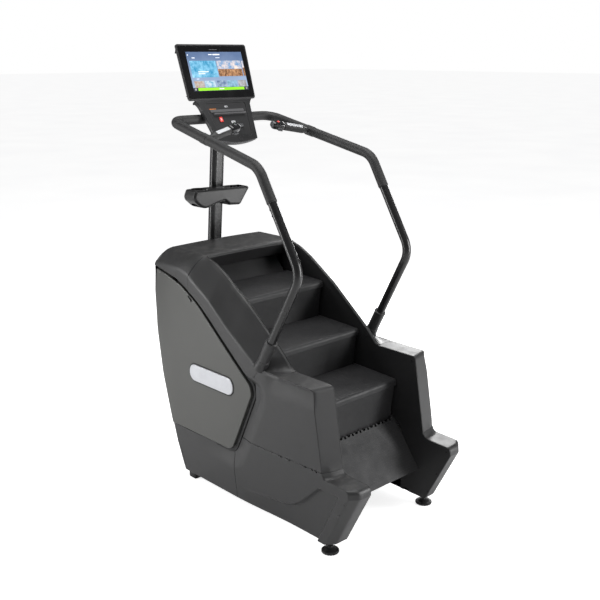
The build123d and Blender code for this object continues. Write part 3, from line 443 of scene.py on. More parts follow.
def slab(outline, back, front, bevels=2.0, step=None, shift=None, steps=4, levels=(), holes=(), closed_back=False):
    """A plate standing on the (y, z) plane: front face at x = front with rounded edges, walls back to x = back.

    bevels is one radius or one per outline point. shift takes arrays x, y, z and returns new ones.
    """
    ring = list(outline)
    if isinstance(bevels, (int, float)):
        bevels = [bevels] * len(ring)
    if area(ring) < 0:
        ring.reverse()
        bevels = list(reversed(bevels))
    r = np.array(bevels, float)
    rows = [(np.array(ring), np.full(len(ring), float(back)))]
    for level in levels:
        rows.append((np.array(ring), np.full(len(ring), float(level))))
    for k in range(steps + 1):
        a = pi / 2 * k / steps
        rows.append((offset_ring(ring, r * (1 - cos(a))), front - r * (1 - sin(a))))
    verts, faces = [], []
    n = len(ring)
    for p, x in rows:
        verts += [(x[i], p[i, 0], p[i, 1]) for i in range(n)]
    for k in range(len(rows) - 1):
        for i in range(n):
            j = (i + 1) % n
            faces.append((k * n + i, k * n + j, (k + 1) * n + j, (k + 1) * n + i))
    base = len(verts)
    flat, tris = fill(rows[-1][0], step, holes)
    verts += [(front, y, z) for y, z in flat]
    faces += [(a + base, b + base, c + base) for a, b, c in tris]
    for hole in holes:
        start = len(verts)
        m = len(hole)
        verts += [(front, y, z) for y, z in hole] + [(front - 3, y, z) for y, z in hole]
        faces += [(start + i, start + (i + 1) % m, start + m + (i + 1) % m, start + m + i) for i in range(m)]
    if closed_back:
        faces.append(tuple(reversed(range(n))))
    if shift:
        arr = np.array(verts, float)
        arr = np.stack(shift(arr[:, 0].copy(), arr[:, 1].copy(), arr[:, 2].copy()), 1)
        verts = [tuple(v) for v in arr]
    return verts, faces


def loft(rings, closed=True, caps=False):
    """Skin over rings of points with the same count."""
    verts = [tuple(p) for ring in rings for p in ring]
    n = len(rings[0])
    faces = []
    for k in range(len(rings) - 1):
        for i in range(n if closed else n - 1):
            j = (i + 1) % n
            faces.append((k * n + i, k * n + j, (k + 1) * n + j, (k + 1) * n + i))
    if caps:
        faces.append(tuple(reversed(range(n))))
        faces.append(tuple(range((len(rings) - 1) * n, len(rings) * n)))
    return verts, faces


def bend_path(points, radii, steps=12, straight=60):
    """A 3-D path with arcs at its corners, evenly filled along its straights."""
    out = []
    pts = [Vector(p) for p in points]
    radii = [radii] * len(pts) if isinstance(radii, (int, float)) else radii
    for i, p in enumerate(pts):
        if i in (0, len(pts) - 1):
            out.append(p)
            continue
        a = pts[i - 1] - p
        b = pts[i + 1] - p
        la, lb = a.length, b.length
        a.normalize()
        b.normalize()
        bend = a.angle(b)
        reach = min(radii[i] / tan(bend / 2), la * 0.49, lb * 0.49)
        radius = reach * tan(bend / 2)
        middle = p + (a + b).normalized() * (radius / sin(bend / 2))
        start = p + a * reach - middle
        end = p + b * reach - middle
        turn = start.angle(end)
        for k in range(steps + 1):
            t = k / steps
            out.append(middle + (start * sin((1 - t) * turn) + end * sin(t * turn)) / sin(turn))
    full = [out[0]]
    for a, b in zip(out, out[1:]):
        n = max(1, int((b - a).length / straight))
        full += [a.lerp(b, k / n) for k in range(1, n + 1)]
    return full


def tube(path, radius, sides=32, cap=2.0, profile=None, up=(0, 0, 1)):
    """A round (or profiled) bar swept along a path with softened ends."""
    pts = [Vector(p) for p in path]
    rings = []
    normal = None
    lengths = []
    for i, p in enumerate(pts):
        before = (p - pts[i - 1]).normalized() if i else (pts[1] - p).normalized()
        after = (pts[i + 1] - p).normalized() if i < len(pts) - 1 else before
        way = (before + after).normalized()
        if normal is None:
            ref = Vector(up)
            if abs(ref.dot(way)) > 0.95:
                ref = Vector((1, 0, 0))
            normal = (ref - way * ref.dot(way)).normalized()
        else:
            normal = (normal - way * normal.dot(way)).normalized()
        lengths.append((p, way, normal.copy(), way.cross(normal)))

    def ring(frame_, grow, slide):
        p, way, n, s = frame_
        if profile:
            shape = [(a * (1 + grow / hypot(a, b)), b * (1 + grow / hypot(a, b))) for a, b in profile]
        else:
            shape = [((radius + grow) * cos(2 * pi * k / sides), (radius + grow) * sin(2 * pi * k / sides)) for k in range(sides)]
        return [tuple(p + way * slide + n * a + s * b) for a, b in shape]

    for k in range(4):
        a = pi / 2 * k / 3
        rings.append(ring(lengths[0], -cap * (1 - sin(a)), cap * (1 - cos(a)) * 0.99))
    rings += [ring(f, 0, 0) for f in lengths[1:-1]]
    for k in range(3, -1, -1):
        a = pi / 2 * k / 3
        rings.append(ring(lengths[-1], -cap * (1 - sin(a)), -cap * (1 - cos(a)) * 0.99))
    return loft(rings, caps=True)


def brick(low, high, bevel=2.0, place=None, segments=3):
    """A bevelled box between two corners, moved by a 4x4 matrix if one is given."""
    bm = bmesh.new()
    size = [h - l for l, h in zip(low, high)]
    centre = [(l + h) / 2 for l, h in zip(low, high)]
    bmesh.ops.create_cube(bm, size=1)
    bmesh.ops.scale(bm, vec=size, verts=bm.verts)
    bmesh.ops.translate(bm, vec=centre, verts=bm.verts)
    if bevel:
        bmesh.ops.bevel(bm, geom=bm.edges[:], offset=min(bevel, min(size) * 0.45), segments=segments, affect="EDGES", profile=0.5)
    if place:
        bmesh.ops.transform(bm, matrix=place, verts=bm.verts)
    bm.verts.ensure_lookup_table()
    out = [tuple(v.co) for v in bm.verts], [tuple(v.index for v in f.verts) for f in bm.faces]
    bm.free()
    return out


def plate(outline, low, high, bevel=1.5, place=None, segments=3, bottom=None):
    """A bevelled plate: outline in its own x, y, thickness from low to high along its own z."""
    ring = list(outline)
    if area(ring) < 0:
        ring.reverse()
    rows = []
    lower = bevel if bottom is None else bottom
    n = len(ring)
    if lower:
        for k in range(segments + 1):
            a = pi / 2 * k / segments
            p = offset_ring(ring, [lower * (1 - sin(a))] * n)
            rows.append([(x, y, low + lower * (1 - cos(a))) for x, y in p])
    else:
        rows.append([(x, y, low) for x, y in ring])
    for k in range(segments + 1):
        a = pi / 2 * k / segments
        p = offset_ring(ring, [bevel * (1 - cos(a))] * n)
        rows.append([(x, y, high - bevel * (1 - sin(a))) for x, y in p])
    verts, faces = loft(rows)
    for row, z, flip in ((rows[0], 0, True), (rows[-1], 1, False)):
        flat, tris = fill([p[:2] for p in row], None)
        base = len(verts)
        verts += [(x, y, row[0][2]) for x, y in flat]
        faces += [tuple(reversed((a + base, b + base, c + base))) if flip else (a + base, b + base, c + base) for a, b, c in tris]
    if place:
        verts = [tuple(place @ Vector(v)) for v in verts]
    return verts, faces


def lathe(profile, sides=48, place=None, caps=True):
    """Turned shape about its own z axis from (radius, height) points."""
    rings = []
    for r, h in profile:
        rings.append([(r * cos(2 * pi * k / sides), r * sin(2 * pi * k / sides), h) for k in range(sides)])
    verts, faces = loft(rings, caps=caps)
    if place:
        verts = [tuple(place @ Vector(v)) for v in verts]
    return verts, faces


def frame_at(origin, x_axis, z_axis):
    z = Vector(z_axis).normalized()
    x = Vector(x_axis)
    x = (x - z * x.dot(z)).normalized()
    y = z.cross(x)
    return Matrix(((x.x, y.x, z.x, origin[0]), (x.y, y.y, z.y, origin[1]), (x.z, y.z, z.z, origin[2]), (0, 0, 0, 1)))


def rounded_rect(width, height, radius, steps=6, centre=(0, 0)):
    w, h = width / 2, height / 2
    cx, cy = centre
    corners = [(cx - w, cy - h), (cx + w, cy - h), (cx + w, cy + h), (cx - w, cy + h)]
    return round_corners(corners, min(radius, w * 0.96, h * 0.96), steps)

# ------------------------------------------------------------------ housings

OUT = 392.0
INNER = 285.5
ARM_TOP = 788.0
FOOT = 61.0
SIDES = (("right", 1), ("left", -1))

cover_corners = [
    (704, 1140), (611, 1127), (483, 1090), (345, 1015), (158, 862), (-58, 690), (-69, 645),
    (43, 402), (92, 302), (598, 298), (680, 560), (725, 807), (724, 1006),
]
cover_radii = [14, 300, 400, 500, 300, 45, 45, 60, 62, 8, 300, 400, 400]
COVER = resample(round_corners(cover_corners, cover_radii, 8), 14)
if area(COVER) < 0:
    COVER.reverse()
WALL_TOP = [(393, 1235), (324, 1209), (249, 1171), (66, 1052), (-180, 856), (-248, 788), (-500, 788)]
WALL_FRONT = [(-566.3, 409), (-586, 384), (-734, 380), (-738, 341), (-595, 61)]
front_z = np.array([61, 341, 380, 384, 409, 788, 900], float)
front_y = np.array([-595, -738, -734, -586, -566.3, -500, -500], float)


def inset(y, z):
    """How far the outer side of the dark housing lies in from its flat plane."""
    p = np.stack([y, z], 1)
    gap = np.where(inside(p, COVER), 0, segment_distance(p, COVER))
    along = 1 - 0.75 * smooth_step((y - 90) / 330)
    valley = 19 * (1 - smooth_step(gap / 105)) * along * (1 - smooth_step((z - 690) / 55))
    deep = 19 * smooth_step((60 - y) / 420)
    upper = [(400, 118), (69, 140), (-120, 150), (-291, 169), (-345, 184), (-391, 212), (-455, 272), (-518, 331), (-669, 337)]
    column = [(-669, 337), (-596, 183), (-535, 55), (-535, 0)]
    region = upper + column[1:] + [(400, 0)]
    within = inside(p, region)
    scoop = deep * smooth_step(segment_distance(p, upper, False) / 13) * smooth_step(segment_distance(p, column, False) / 22)
    wrap = 13 * np.clip((y - 560) / 170, 0, 1.2) ** 2
    return valley + np.where(within, scoop, 0) + wrap


def front_line(z):
    return np.interp(z, front_z, front_y)


def housing_shift(x, y, z):
    """Moulded shape of a side housing: dished side, front face turned outwards, toe corner cut back."""
    share = np.clip((x - 300) / (OUT - 300), 0, 1)
    outer_x = x - inset(y, z) * smooth_step((x - 330) / 55)
    lip = ARM_TOP - z
    crease = np.where(lip < 17, smooth_step(lip / 17), 1 - smooth_step((lip - 17) / 95))
    fade = smooth_step((-150 - y) / 70) * (lip >= 0)
    outer_x -= 8.5 * crease * fade * smooth_step((x - 375) / 15)
    near = 1 - smooth_step((y - front_line(z)) / 150)
    toe = 1 - smooth_step((z - 330) / 130)
    turned = 26 * np.clip((x - INNER) / (OUT - INNER), 0, 1) * (1 - toe)
    t = (x - 352) / 30
    cut = 34 * 0.5 * (t + np.sqrt(t * t + 0.05)) / 1.35 * toe
    return outer_x, y + near * (turned + cut), z


LEVELS = [300, 312, 324, 336, 344, 350, 354, 358, 364, 372, 380, 385]


def side_piece(name, outline, bevels, replaces, material="housing_plastic", back=INNER, levels=LEVELS, step=11, both=True, shift=housing_shift, steps=5):
    parts = slab(outline, back, OUT, bevels, step, shift, steps, levels)
    if both:
        parts = join(parts, mirrored(*parts, -1))
        return piece(name, *parts, material, replaces=replaces, angle=38)
    return parts


def bevel_list(ring, free, radius, seam=1.2):
    """A bevel for each outline point: wide on free edges, hairline on seams."""
    return [radius if free(y, z) else seam for y, z in ring]


arm_ring = round_corners(
    [(-123, 788), (-500, 788), (-566.3, 409.7), (80, 393.4), (80, 560), (-66, 729)], [0, 22, 0, 0, 0, 0], 8
)
arm_ring = resample(arm_ring, 5.5)
arm_bevels = bevel_list(arm_ring, lambda y, z: (z > 787 or y < front_line(z) + 30) and z > 412, 3.5)
arm = slab(arm_ring, INNER, OUT, arm_bevels, 7, housing_shift, 5, LEVELS)
for label, side in SIDES:
    piece(f"front_arm_{label}", *mirrored(*arm, side), "housing_plastic", replaces=f"front_arm_{label}", angle=38)

low_ring = round_corners(
    [(-566.3, 408.2), (-586, 384), (-734, 380), (-738, 341), (-595, FOOT), (56, FOOT), (92, 300), (92, 391.8)],
    [0, 26, 24, 10, 14, 0, 0, 0],
    8,
)
low_ring = resample(low_ring, 5.5)
low_bevels = bevel_list(low_ring, lambda y, z: z < 400 and (y < -560 or z < 62), 4.5)
side_piece("lower_front_covers", low_ring, low_bevels, "lower_front_covers", step=5.5)

rear_ring = resample(round_corners([(93.8, 300), (57.8, FOOT), (491, FOOT), (505, 88), (596, 300)], [0, 0, 8, 8, 0], 5), 12)
side_piece("lower_rear_covers", rear_ring, bevel_list(rear_ring, lambda y, z: z < 62, 4), "lower_rear_covers")

# Upper edge of the slope cover along the inner wall, and its ridge further out.
crest = resample(round_corners([(700, 1238), (430, 1238), (324, 1209), (249, 1171), (66, 1052), (-180, 856), (-262, 774)], [0, 160, 200, 300, 500, 60, 0], 8), 8, False)
ridge = resample(round_corners([(700, 1166), (500, 1166), (416, 1150), (253, 1045), (96, 923), (-97, 798), (-190, 735)], [0, 120, 180, 500, 600, 200, 0], 8), 8, False)
crest = np.array(crest)[::-1]
ridge = np.array(ridge)[::-1]
cover_np = np.array(COVER)
top_edge = [p for p in COVER if p[1] > 690 and not (p[0] > 700)]
top_edge = np.array(sorted(p for p in top_edge if p[1] > 0.6 * p[0] + 690))


def crest_z(y):
    return np.interp(y, crest[:, 0], crest[:, 1])


def ridge_z(y):
    return np.interp(y, ridge[:, 0], ridge[:, 1])


def gap_z(y):
    """Lower edge of the slope cover's side: above the gap round the grey cover, where the black liner paints the gap's
    shadow.
    """
    rise = 18 - 6 * smooth_step((y - 420) / 160)
    seam = 788 - (y + 120.5) * 59 / 53.5
    return np.maximum(np.interp(y, top_edge[:, 0], top_edge[:, 1]) + rise, np.where(y < -40, seam, 0))


def smooth_max(a, b, r):
    h = np.clip(0.5 + 0.5 * (a - b) / r, 0, 1)
    return b * (1 - h) + a * h + r * h * (1 - h)


def section(y, side_rows=10):
    """Cross-section of slope cover and crown at one y, from the inner wall out and down."""
    top = float(crest_z(y))
    low = float(ridge_z(y))
    power = 1.0 + 0.85 * float(smooth_step((y - 300) / 190))
    points = [(INNER, top - 14), (INNER, top - 4), (INNER + 0.8, top - 1.6), (INNER + 3, top - 0.4), (296, top - 0.6), (299, top - 1.4)]
    xs = np.linspace(303, 385, 12)
    for x in xs:
        t = (x - 297) / (389 - 297)
        points.append((x, (top - 2) - (top - 2 - low - 3) * t**power))
    z_end = points[-1][1]
    lift = z_end - low
    points += [(388.2, low + lift * 0.45), (390.6, low - 2), (391.7, low - 7), (OUT, low - 14)]
    fixed = []
    for x, z in points[:-4]:
        fixed.append((x, float(smooth_max(z, 788.35, 26)) if y < 0 else z))
    drop = float(smooth_max(low, 788.35 - 2, 14)) - low if y < 0 else 0
    fixed += [(x, z + drop) for x, z in points[-4:]]
    end = fixed[-1][1]
    bottom = min(float(gap_z(y)), end - 0.4)
    for k in range(1, side_rows):
        fixed.append((OUT, end + (bottom - end) * k / (side_rows - 1)))
    fixed += [(OUT - 1.2, bottom - 1.2), (OUT - 8, bottom - 1.4)]
    return fixed


def bend_rows(rows):
    """Rows of (x, y, z), dished like the rest of the housing side."""
    out = []
    for row in rows:
        arr = np.array(row, float)
        x = arr[:, 0] - inset(arr[:, 1], arr[:, 2]) * smooth_step((arr[:, 0] - 330) / 55)
        out.append([tuple(v) for v in np.stack([x, arr[:, 1], arr[:, 2]], 1)])
    return out


def seam_y(x):
    """The seam between slope cover and crown runs a little aft as it goes out."""
    return 400 + 18 * min(max((x - 297) / 92, 0), 1)


stations = list(np.arange(-118, 400, 8)) + [400]
rows = []
for y in stations:
    sec = section(y)
    share = max(0.0, (y - 250) / 150)
    rows.append([(x, y + share * (seam_y(x) - 400 - (1.2 if share == 1 else 0)), z) for x, z in sec])
slope_outer = loft(bend_rows(rows), closed=False)
flats = []
top_count = 6 + 12 + 4
for y in np.arange(-256, -117, 6):
    flats.append([(x, y if y < -118 else -118, z) for x, z in section(y)[:top_count]])
flats.append([(x, -118, z) for x, z in section(-118)[:top_count]])
slope_toe = loft(bend_rows(flats), closed=False)
slope = join(slope_outer, slope_toe)
slope = join(slope, mirrored(*slope, -1))
slope_obj = piece("slope_covers", *slope, "housing_plastic", replaces="slope_covers", angle=50)


def crown_rows():
    rows = []
    half = section(500, 4)[4:]
    for y in [405, 407, 411, 417] + list(np.linspace(425, 669, 26)):
        sec = section(max(y, 400), 10)[4:]
        row = []
        centre = [(x, sec[0][1] + 4.5 * (1 - (x / 285) ** 2)) for x in np.linspace(0, 285, 14)]
        for x, z in centre + sec:
            front = seam_y(x)
            start = 405.0
            yy = front + (y - start) * (669 - front) / (669 - start)
            back = 671 + (1238 - z) * 51 / 96
            if yy > 560:
                yy = 560 + (yy - 560) * (back - 560) / (669 - 560)
            drop = 3.2 * max(0, 1 - (y - 405) / 9) ** 2 if x < 300 else 0
            row.append((x, yy, z - drop))
        left = [(-x, yy, z) for x, yy, z in reversed(row[1:])]
        rows.append(left + row)
    return rows


crown = crown_rows()
first = crown[0]
middle = len(first) // 2
upright = 28
lip = []
for depth, aft in ((14, 1.2), (3, 0)):
    row = []
    for i, (x, y, z) in enumerate(first):
        if abs(i - middle) < upright:
            row.append((x, y + aft, z - depth))
        else:
            row.append((x - depth if x > 0 else x + depth, y + aft, z))
    lip.append(row)
crown_mesh = loft(bend_crown := [r for r in lip + crown], closed=False)


def bend_sides(verts):
    arr = np.array(verts, float)
    ax = np.abs(arr[:, 0])
    ax = ax - inset(arr[:, 1], arr[:, 2]) * smooth_step((ax - 330) / 55)
    arr[:, 0] = np.sign(arr[:, 0]) * ax
    return [tuple(v) for v in arr]


mast_hole = []
crown_obj = piece("top_housing", bend_sides(crown_mesh[0]), crown_mesh[1], "housing_plastic", replaces="top_housing", angle=50)

# Rear cover: a curved back with rounded vertical edges.
rear_path = resample(round_corners([(671.5, 1237.5), (722, 1140), (738, 1006), (730, 807), (660, 540), (597, 306), (503, 84)], [0, 60, 150, 250, 600, 400, 0], 10, False), 16, False)
rows = []
for i, (y, z) in enumerate(rear_path):
    a = rear_path[max(i - 1, 0)]
    b = rear_path[min(i + 1, len(rear_path) - 1)]
    way = Vector((b[0] - a[0], b[1] - a[1])).normalized()
    out_y, out_z = -way[1], way[0]
    if z > 1166:
        half = float(np.interp(z, [1166, 1172, 1180, 1195, 1210, 1224, 1233, 1238], [390, 388, 384, 373, 357, 335, 310, 262]))
    else:
        half = OUT
    edge = min(16, 3 + max(0, 1180 - z) * 0.2)
    skin_in = 16 if 300 < z < 1120 else 11
    row = []
    for k in range(6):
        t = pi / 2 * k / 5
        row.append((half - edge * (1 - cos(t)), -edge * (1 - sin(t))))
    full = [(half, -skin_in - edge * 0.2)] + row
    bulge = [(x, 3.5 * (1 - (x / half) ** 2)) for x in np.linspace(half - edge - 18, 0, 16)]
    full += bulge
    ring = [(x, y + out_y * d, z + out_z * d) for x, d in full]
    left = [(-x, yy, zz) for x, yy, zz in reversed(ring[:-1])]
    rows.append(ring + left)
back_mesh = loft(rows, closed=False)
rear_obj = piece("rear_cover", bend_sides(back_mesh[0]), back_mesh[1], "housing_plastic", replaces="rear_cover", angle=45)

# Grey side covers with a rolled lower edge, over a black liner whose black in the gap round each cover is partly trim,
# partly painted shadow of that gap.


def cover_shift(x, y, z):
    wrap = 13 * np.clip((y - 560) / 170, 0, 1.2) ** 2
    return x - wrap, y, z


gaps = [1.6 if (y > 590 and z < 1100) or (z < 306 and y > 130) else 7.0 for y, z in COVER]
for k in range(4):
    gaps = [(gaps[i - 1] + gaps[i] + gaps[(i + 1) % len(gaps)]) / 3 for i in range(len(gaps))]
grey_ring = [tuple(p) for p in offset_ring(COVER, gaps)]
grey_bevels = []
for y, z in grey_ring:
    if z < 304 and 110 < y < 592:
        grey_bevels.append(12.0)
    elif y > 560 and z < 1120:
        grey_bevels.append(7.0)
    else:
        grey_bevels.append(4.0)
for k in range(3):
    grey_bevels = [(grey_bevels[i - 1] + grey_bevels[i] + grey_bevels[(i + 1) % len(grey_bevels)]) / 3 for i in range(len(grey_bevels))]
grey = slab(grey_ring, 374, OUT + 1.0, grey_bevels, 22, cover_shift, 5)
# Black liner behind the cover gaps: partly trim, partly painted shadow in the gap round the cover.
gap_shade_liner_ring = [tuple(p) for p in offset_ring(COVER, [-13.0] * len(COVER))]
gap_shade_liner = slab(gap_shade_liner_ring, 368, 379.0, 1.5, 40, cover_shift, 2)
for label, side in SIDES:
    piece(f"side_cover_{label}", *mirrored(*grey, side), "side_cover_paint", replaces=f"side_cover_{label}", angle=50)
    piece(f"side_gap_shade_liner_{label}", *mirrored(*gap_shade_liner, side), "black_plastic", slot="wall_sheet")

# Blank badge in a dark tray with a soft rim.
badge_ring = resample(round_corners([(73, 598), (419, 598), (419, 686), (73, 686)], 43.9, 14), 10)
tray_ring = [tuple(p) for p in offset_ring(badge_ring if area(badge_ring) > 0 else badge_ring[::-1], [-7.0] * len(badge_ring))]
badge = slab(badge_ring, OUT - 4, OUT + 6.4, 4.0, None, None, 4)
tray = slab(tray_ring, OUT - 4, OUT + 2.6, 1.5, None, None, 3)
badge = join(badge, mirrored(*badge, -1))
tray = join(tray, mirrored(*tray, -1))
piece("side_badges", *badge, "badge_silver", replaces="side_badges", angle=50)
piece("side_badge_trays", *tray, "black_plastic", slot="housing_plastic", angle=50)

# Inner walls: textured sheet, rounded where it follows the covers.
PITCH = hypot(262, 204)
DOWN = Vector((0, -262 / PITCH, -204 / PITCH))
OUTWARD = Vector((0, -204 / PITCH, 262 / PITCH))
LINK = PITCH / 16
SPROCKET = 24 * LINK / (2 * pi)
LEAD = 2 * LINK
FRONT_TOP = Vector((0, 417, 1064)) - OUTWARD * 30
UPPER = FRONT_TOP - DOWN * LEAD - OUTWARD * SPROCKET
LOWER = UPPER + DOWN * (3 * PITCH + 2 * LEAD)
swept = SPROCKET + 22


def chain_line(y):
    return 1064 + (y - 417) * 204 / 262 - 8 * PITCH / 262


wall_ring = [(y, z) for y, z in reversed(crest) if -246 < y <= 393]
wall_ring = [(456.9, 1235.0)] + [(y, z - 1.0) for y, z in wall_ring]
front_corner = round_corners([(-230, 804), (-250, 787), (-500, 787), (-566.3, 409), (-586, 383), (-734, 379), (-737, 341), (-594.5, 61.5)], [0, 30, 22, 0, 26, 24, 8, 8], 8, False)
wall_ring += front_corner[1:]
notch = [(-472 - 16 * cos(t), 61.5 + 16 * sin(t)) for t in np.linspace(0, pi, 12)]
wall_ring += notch
arc = [(LOWER.y - swept * cos(t), LOWER.z + swept * sin(t)) for t in np.linspace(0, atan2(OUTWARD.z, -OUTWARD.y), 20)]
wall_ring += [(LOWER.y - swept, 61.5)] + arc + [(456.9, chain_line(456.9))]
wall_ring = resample(wall_ring, 25)
wall = slab(wall_ring, -284.0, -281.0, 0.8, None, None, 2, closed_back=False)
for label, side in SIDES:
    piece(f"inner_wall_{label}", *mirrored(*wall, -side), "wall_sheet", replaces=f"inner_wall_{label}", angle=40)

screw_places = [(81, 1016), (-177, 817), (-346, 763), (-480, 763), (-545, 432), (-714, 357), (-660, 221), (-609, 107)]
screws = []
for y, z in screw_places:
    head = lathe([(4.2, 0), (4.5, 0.5), (4.2, 1.5), (3.4, 2.3), (1.9, 2.6), (1.9, 1.4), (0.3, 1.4)], 20, frame_at((-281.0, y, z), (0, 1, 0), (1, 0, 0)))
    screws.append(head)
heads = join(*screws)
heads = join(heads, mirrored(*heads, -1))
piece("wall_screws", *heads, "screw_steel", replaces="wall_screws", angle=30)

# Plate that closes the back of the stairwell under the crown, and the ramp at its foot.
piece("back_plate", *brick((-279, 399, 1133), (279, 403, 1226), 1.2, Matrix.Translation((0, 399, 1226)) @ Matrix.Rotation(radians(36), 4, "X") @ Matrix.Translation((0, -399, -1226))), "wall_sheet", replaces="back_plate")


def ramp_mesh():
    top = Vector((0, -380, 440))
    low = Vector((0, -550, 211))
    length = (low - top).length
    way = (low - top).normalized()
    up = Vector((0, way.z, -way.y))
    if up.z < 0:
        up = -up
    place = Matrix(((1, 0, 0, 0), (0, -way.y, up.y, top.y), (0, -way.z, up.z, top.z), (0, 0, 0, 1)))
    half = 279.5
    edge = [(-half, -length), (half, -length), (half, 0)]
    pitch = 54.0
    for k in range(5, -6, -1):
        centre = k * pitch
        if abs(k) < 5 or True:
            if -half + 12 < centre < half - 12:
                for t in np.linspace(0, pi, 9):
                    edge.append((centre + 11 * cos(t), -11 * sin(t)))
        mid = centre - pitch / 2
        if mid - 6 > -half:
            edge += [(mid + 5.5, 0), (mid + 5.5, -13), (mid - 5.5, -13), (mid - 5.5, 0)]
    edge.append((-half, 0))
    sheet = plate(edge, -3.2, 0.0, 0.7, place, 2)
    ribs = []
    y = -26.0
    while y > -length + 6:
        ribs.append(brick((-half + 4, y - 1.3, -0.6), (half - 4, y + 1.3, 0.75), 0.6, place, 2))
        y -= 13.0
    fold = brick((-half, -length - 1.5, -16), (half, -length + 2, -1), 1.2, place)
    return join(sheet, fold, *ribs)


piece("step_ramp", *ramp_mesh(), "ramp_plastic", replaces="step_ramp", slot="step_plastic", angle=30)

# ------------------------------------------------------------------ stair loop

CORNER = (OUTWARD.y * 30, OUTWARD.z * 30)
NOSE = (CORNER[0] - 283, CORNER[1] - 11)
KNEE = (NOSE[0] + 14, NOSE[1] - 16)
RISER_KNEE = (KNEE[0] + 262, KNEE[1] + 204)


def axle(i):
    if i < 4:
        return FRONT_TOP + DOWN * (PITCH * i)
    return FRONT_TOP + DOWN * (3 * PITCH) - OUTWARD * (2 * SPROCKET) - DOWN * (PITCH * (i - 4))


def knee_of(i):
    start, end = axle(i), axle((i + 1) % 8)
    gap = end - start
    a, b = hypot(*KNEE), hypot(*RISER_KNEE)
    along = (a * a - b * b + gap.length**2) / (2 * gap.length)
    way = gap.normalized()
    return start + way * along + Vector((0, way.z, -way.y)) * sqrt(a * a - along * along)


def turned(points, origin, angle, low, high):
    """A closed (y, z) outline turned about its axle and drawn out along x, with softened ends."""
    c, s = cos(angle), sin(angle)
    ring = list(points)
    if area(ring) < 0:
        ring.reverse()
    rows = []
    for x, inner in ((low, 0.6), (low + 0.6, 0), (high - 0.6, 0), (high, 0.6)):
        p = offset_ring(ring, [inner] * len(ring))
        rows.append([(x, a, b) for a, b in p])
    verts, faces = loft(rows)
    for row, flip in ((rows[0], False), (rows[-1], True)):
        flat, tris = fill([q[1:] for q in row], None)
        base = len(verts)
        verts += [(row[0][0], a, b) for a, b in flat]
        faces += [(t[0] + base, t[1] + base, t[2] + base) if flip else (t[2] + base, t[1] + base, t[0] + base) for t in tris]
    return [(x, origin.y + y * c - z * s, origin.z + y * s + z * c) for x, y, z in verts], faces


def tread_parts(i):
    origin = axle(i)
    reach = knee_of(i) - origin
    angle = atan2(reach.z, reach.y) - atan2(KNEE[1], KNEE[0])
    rear = CORNER[0] - 2
    fall = 11 / 283
    deck = lambda y: CORNER[1] + fall * (y - CORNER[0])
    top = [(rear, deck(rear) - 7), (rear, deck(rear) - 1.2), (rear - 1.2, deck(rear))]
    y = rear - 12
    while y > KNEE[0] + 14:
        top += [(y + 1.1, deck(y)), (y, deck(y) - 0.9), (y - 1.1, deck(y))]
        y -= 13.0
    last = 180 if i < 3 else 238
    arc = [(KNEE[0] + 16 * cos(t), KNEE[1] + 16 * sin(t)) for t in np.linspace(radians(92), radians(last), 22)]
    if i < 3:
        arc += [(KNEE[0] - 15.6, KNEE[1] - 16.0), (KNEE[0] - 14.6, KNEE[1] - 17.2), (KNEE[0] - 12.6, KNEE[1] - 17.2), (KNEE[0] - 12.4, KNEE[1] - 3)]
    inner = [(KNEE[0] + 9.6 * cos(t), KNEE[1] + 9.6 * sin(t)) for t in np.linspace(radians(last + 8 if i < 3 else last), radians(60), 16)]
    under = [(KNEE[0] + 12, deck(KNEE[0]) - 7.5), (rear - 90, deck(rear - 90) - 7)]
    body = turned(top + arc + inner + under, origin, angle, -276, 276)
    parts = [body]
    for share in (0.25, 0.5, 0.75):
        y = rear + share * (KNEE[0] - rear)
        parts.append(turned([(y - 1.5, deck(y) - 18), (y + 1.5, deck(y) - 18), (y + 1.5, deck(y) - 6), (y - 1.5, deck(y) - 6)], origin, angle, -269, 269))
    ear = [
        (rear, CORNER[1] - 2), (KNEE[0], KNEE[1] + 13), (KNEE[0] - 12, KNEE[1] + 4), (KNEE[0], KNEE[1] - 11),
        (KNEE[0] / 2, -9), (-62, -9), (0, -15.5), (15.5, 0), (0, 15.5),
    ]
    ear = round_corners(ear, [2, 2, 4, 4, 20, 10, 8, 8, 8], 4)
    for low, high in ((-276.4, -270.4), (270.4, 276.4)):
        parts.append(turned(ear, origin, angle, low, high))
    return parts


def riser_parts(i):
    origin = axle((i + 1) % 8)
    reach = knee_of(i) - origin
    angle = atan2(reach.z, reach.y) - atan2(RISER_KNEE[1], RISER_KNEE[0])
    lean = (RISER_KNEE[0] - 14 - CORNER[0]) / (RISER_KNEE[1] + 16 - CORNER[1])
    top = RISER_KNEE[1] - 19
    top_y = CORNER[0] + lean * (top - CORNER[1])
    foot_y = CORNER[0] - lean * CORNER[1]
    face = []
    for k in range(19):
        t = k / 18
        z = top * (1 - t)
        y = top_y + (foot_y - top_y) * t + 3.0 * sin(pi * t)
        face.append((y, z))
    plate_ring = face + [(foot_y + 8, 0), (top_y + 8, top - 8), (RISER_KNEE[0] + 3.5, top), (RISER_KNEE[0] + 3, RISER_KNEE[1] - 3), (RISER_KNEE[0] - 3, RISER_KNEE[1] - 3), (RISER_KNEE[0] - 4.5, top)]
    parts = [turned(plate_ring, origin, angle, -267, 267)]
    barrel = [(13 * cos(2 * pi * k / 28), 13 * sin(2 * pi * k / 28)) for k in range(28)]
    pin = [(RISER_KNEE[0] + 7 * cos(2 * pi * k / 20), RISER_KNEE[1] + 7 * sin(2 * pi * k / 20)) for k in range(20)]
    parts.append(turned(barrel, origin, angle, -266.5, 266.5))
    parts.append(turned(pin, origin, angle, -266.5, 266.5))
    return parts


